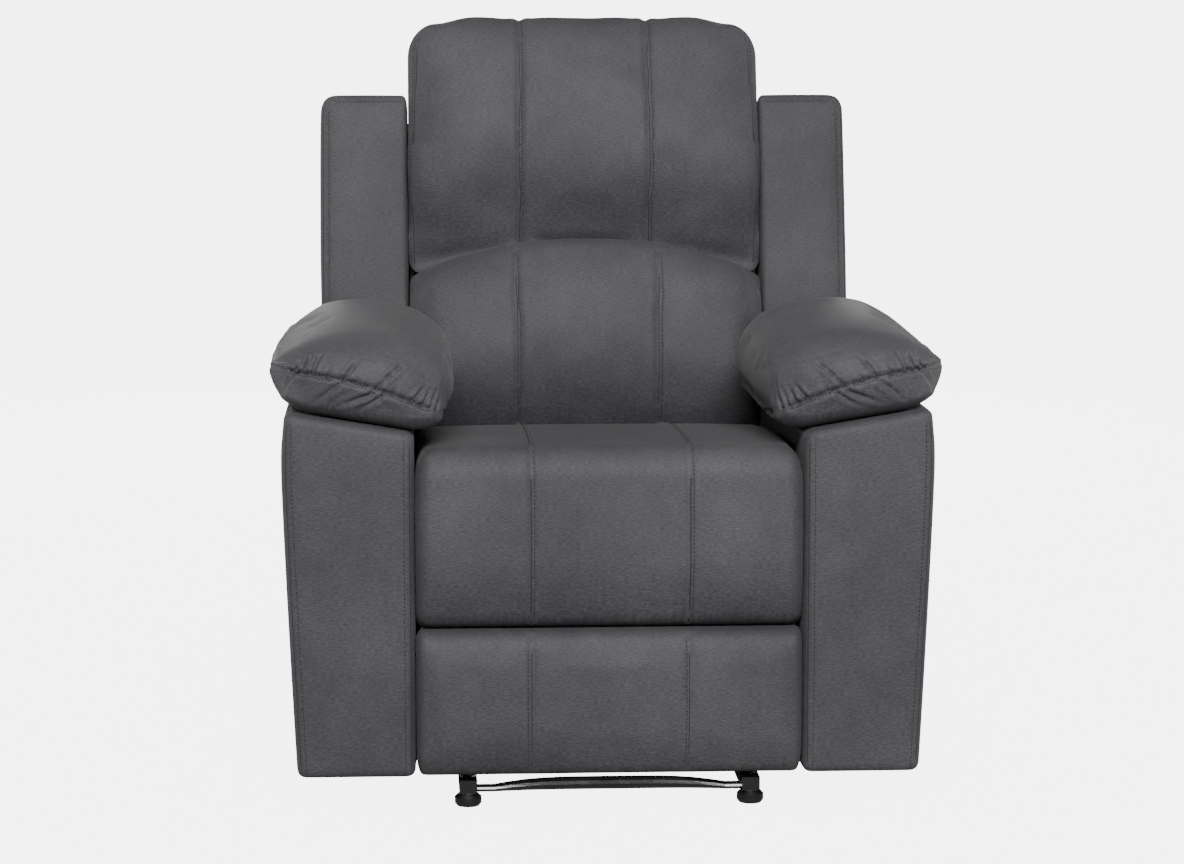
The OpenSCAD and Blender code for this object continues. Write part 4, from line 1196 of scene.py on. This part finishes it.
def make_apron():
    """The cloth panel that closes the base behind."""
    lo, hi = both("rear_apron")
    lo[0], hi[0] = -SEAT_HALF, SEAT_HALF
    hi[1] -= 0.001
    apron = panel("rear_apron_cover", lo, hi, (40, 3, 16), (0.03, 0.6, 0.06), 0.003,
                  lambda c: c)
    sewing = Sewing(apron)
    rect = resample(outline(lo, hi, hi[1] + 0.004, 0.011), 0.004)
    sewing.stitches(rect, 0.0)
    soft(apron, "base", ("rear_apron",), 0.8)
    sewing.finish("rear_apron_stitching", "base")


def make_inside_back():
    """Cloth behind the back cushions, over the frame and webbing."""
    upper = panel("inside_back_upper", (-0.2625, -0.0318, 0.243), (0.2625, -0.0299, 0.5765),
                  (24, 2, 18), (0.02, 0.5, 0.02), 0.0, leaned)
    lower = panel("inside_back_lower", (-0.2522, -0.0318, -0.0185), (0.2522, -0.0299, 0.2428),
                  (24, 2, 14), (0.02, 0.5, 0.02), 0.0, leaned)
    for piece in (upper, lower):
        soft(piece, "back", (), 0)


make_seat()
make_footrest()
make_crease_lining()
make_lumbar()
make_head()
make_arm_pad()
make_arms()
make_wings()
make_back_shell()
make_inside_back()
make_apron()

# ---------- hard pieces

for part in frame["record"]["subparts"]:
    node = frame["nodes"][part["node"]]
    if node.hide_render or part["material_slot"] == "upholstery":
        continue
    bevel = node.modifiers.new("edge", "BEVEL")
    bevel.width = 0.0006
    bevel.segments = 2
    bevel.limit_method = "ANGLE"
    bevel.angle_limit = math.radians(40)

# ---------- floor, light and camera

# Only camera rays see this glow, so it whitens the floor and background but doesn't light the chair
BACKDROP = 9.0
FLOOR_SHARE = 0.62   # share of the glow in the floor's look
SKY_SHARE = 0.64     # the background's brightness, as a share of the glow
DAYLIGHT = 0.12      # the background's brightness as a light
floor_co = [(-30, -12, 0), (30, -12, 0), (30, 60, 0), (-30, 60, 0)]
floor = new_piece("floor", floor_co, [[0, 1, 2, 3]], CLOTH, False)
ground = Nodes("floor")
ground.set(color=ground.ramp(ground.noise(ground.co, 2.0, 3.0), [(0.3, (0.40, 0.40, 0.40, 1)),
                                                          (0.7, (0.43, 0.43, 0.43, 1))]),
           rough=0.9, specular=0.1)
glow = ground.add("ShaderNodeEmission")
glow.inputs["Color"].default_value = (1, 1, 1, 1)
glow.inputs["Strength"].default_value = BACKDROP
blend = ground.add("ShaderNodeMixShader")
eye = ground.add("ShaderNodeLightPath")
ground.put(blend.inputs[0], ground.math("MULTIPLY", eye.outputs["Is Camera Ray"], FLOOR_SHARE))
ground.link(ground.bsdf.outputs[0], blend.inputs[1])
ground.link(glow.outputs[0], blend.inputs[2])
ground.link(blend.outputs[0], ground.out.inputs[0])
floor.data.materials[0] = ground.mat

world = bpy.data.worlds.new("studio")
SCENE.world = world
world.use_nodes = True
sky = world.node_tree.nodes["Background"]
sky.inputs[0].default_value = (0.98, 0.985, 1.0, 1)
seen = world.node_tree.nodes.new("ShaderNodeLightPath")
level = world.node_tree.nodes.new("ShaderNodeMapRange")
level.inputs[3].default_value = DAYLIGHT
level.inputs[4].default_value = BACKDROP * SKY_SHARE
world.node_tree.links.new(seen.outputs["Is Camera Ray"], level.inputs[0])
world.node_tree.links.new(level.outputs[0], sky.inputs[1])


def area(name, at, target, size, power, colour=(1, 1, 1)):
    """A softbox that faces its target."""
    light = bpy.data.lights.new(name, "AREA")
    light.shape = "RECTANGLE"
    light.size, light.size_y = size
    light.energy = power
    light.color = colour
    obj = bpy.data.objects.new(name, light)
    SCENE.collection.objects.link(obj)
    obj.location = at
    obj.rotation_euler = (Vector(target) - Vector(at)).to_track_quat("-Z", "Y").to_euler()
    return obj


area("front_softbox", (0.0, -4.4, 3.0), (0, 0.0, 0.45), (2.2, 1.3), 345)
area("top_softbox", (0.0, -0.6, 3.4), (0, 0.0, 0.5), (2.4, 1.6), 24, (1.0, 0.96, 0.90))
area("left_softbox", (-3.6, 1.0, 1.3), (0, 0.2, 0.5), (2.0, 1.8), 55)
area("right_softbox", (3.6, 1.0, 1.3), (0, 0.2, 0.5), (2.0, 1.8), 55)
area("rear_softbox", (0.0, 4.4, 1.8), (0, 0.0, 0.5), (2.6, 1.8), 130)

# The camera's place, lens and aim were fitted to the chair's outline in the photo
cam_data = bpy.data.cameras.new("camera")
cam_data.sensor_width = 36
cam_data.lens = 99.82
camera = bpy.data.objects.new("camera", cam_data)
SCENE.collection.objects.link(camera)
camera.location = (-0.257, -4.7155, 1.052)
yaw, pitch = 0.0544, 0.1275
ahead = Vector((math.sin(yaw) * math.cos(pitch), math.cos(yaw) * math.cos(pitch), -math.sin(pitch)))
camera.rotation_euler = ahead.to_track_quat("-Z", "Y").to_euler()
SCENE.camera = camera
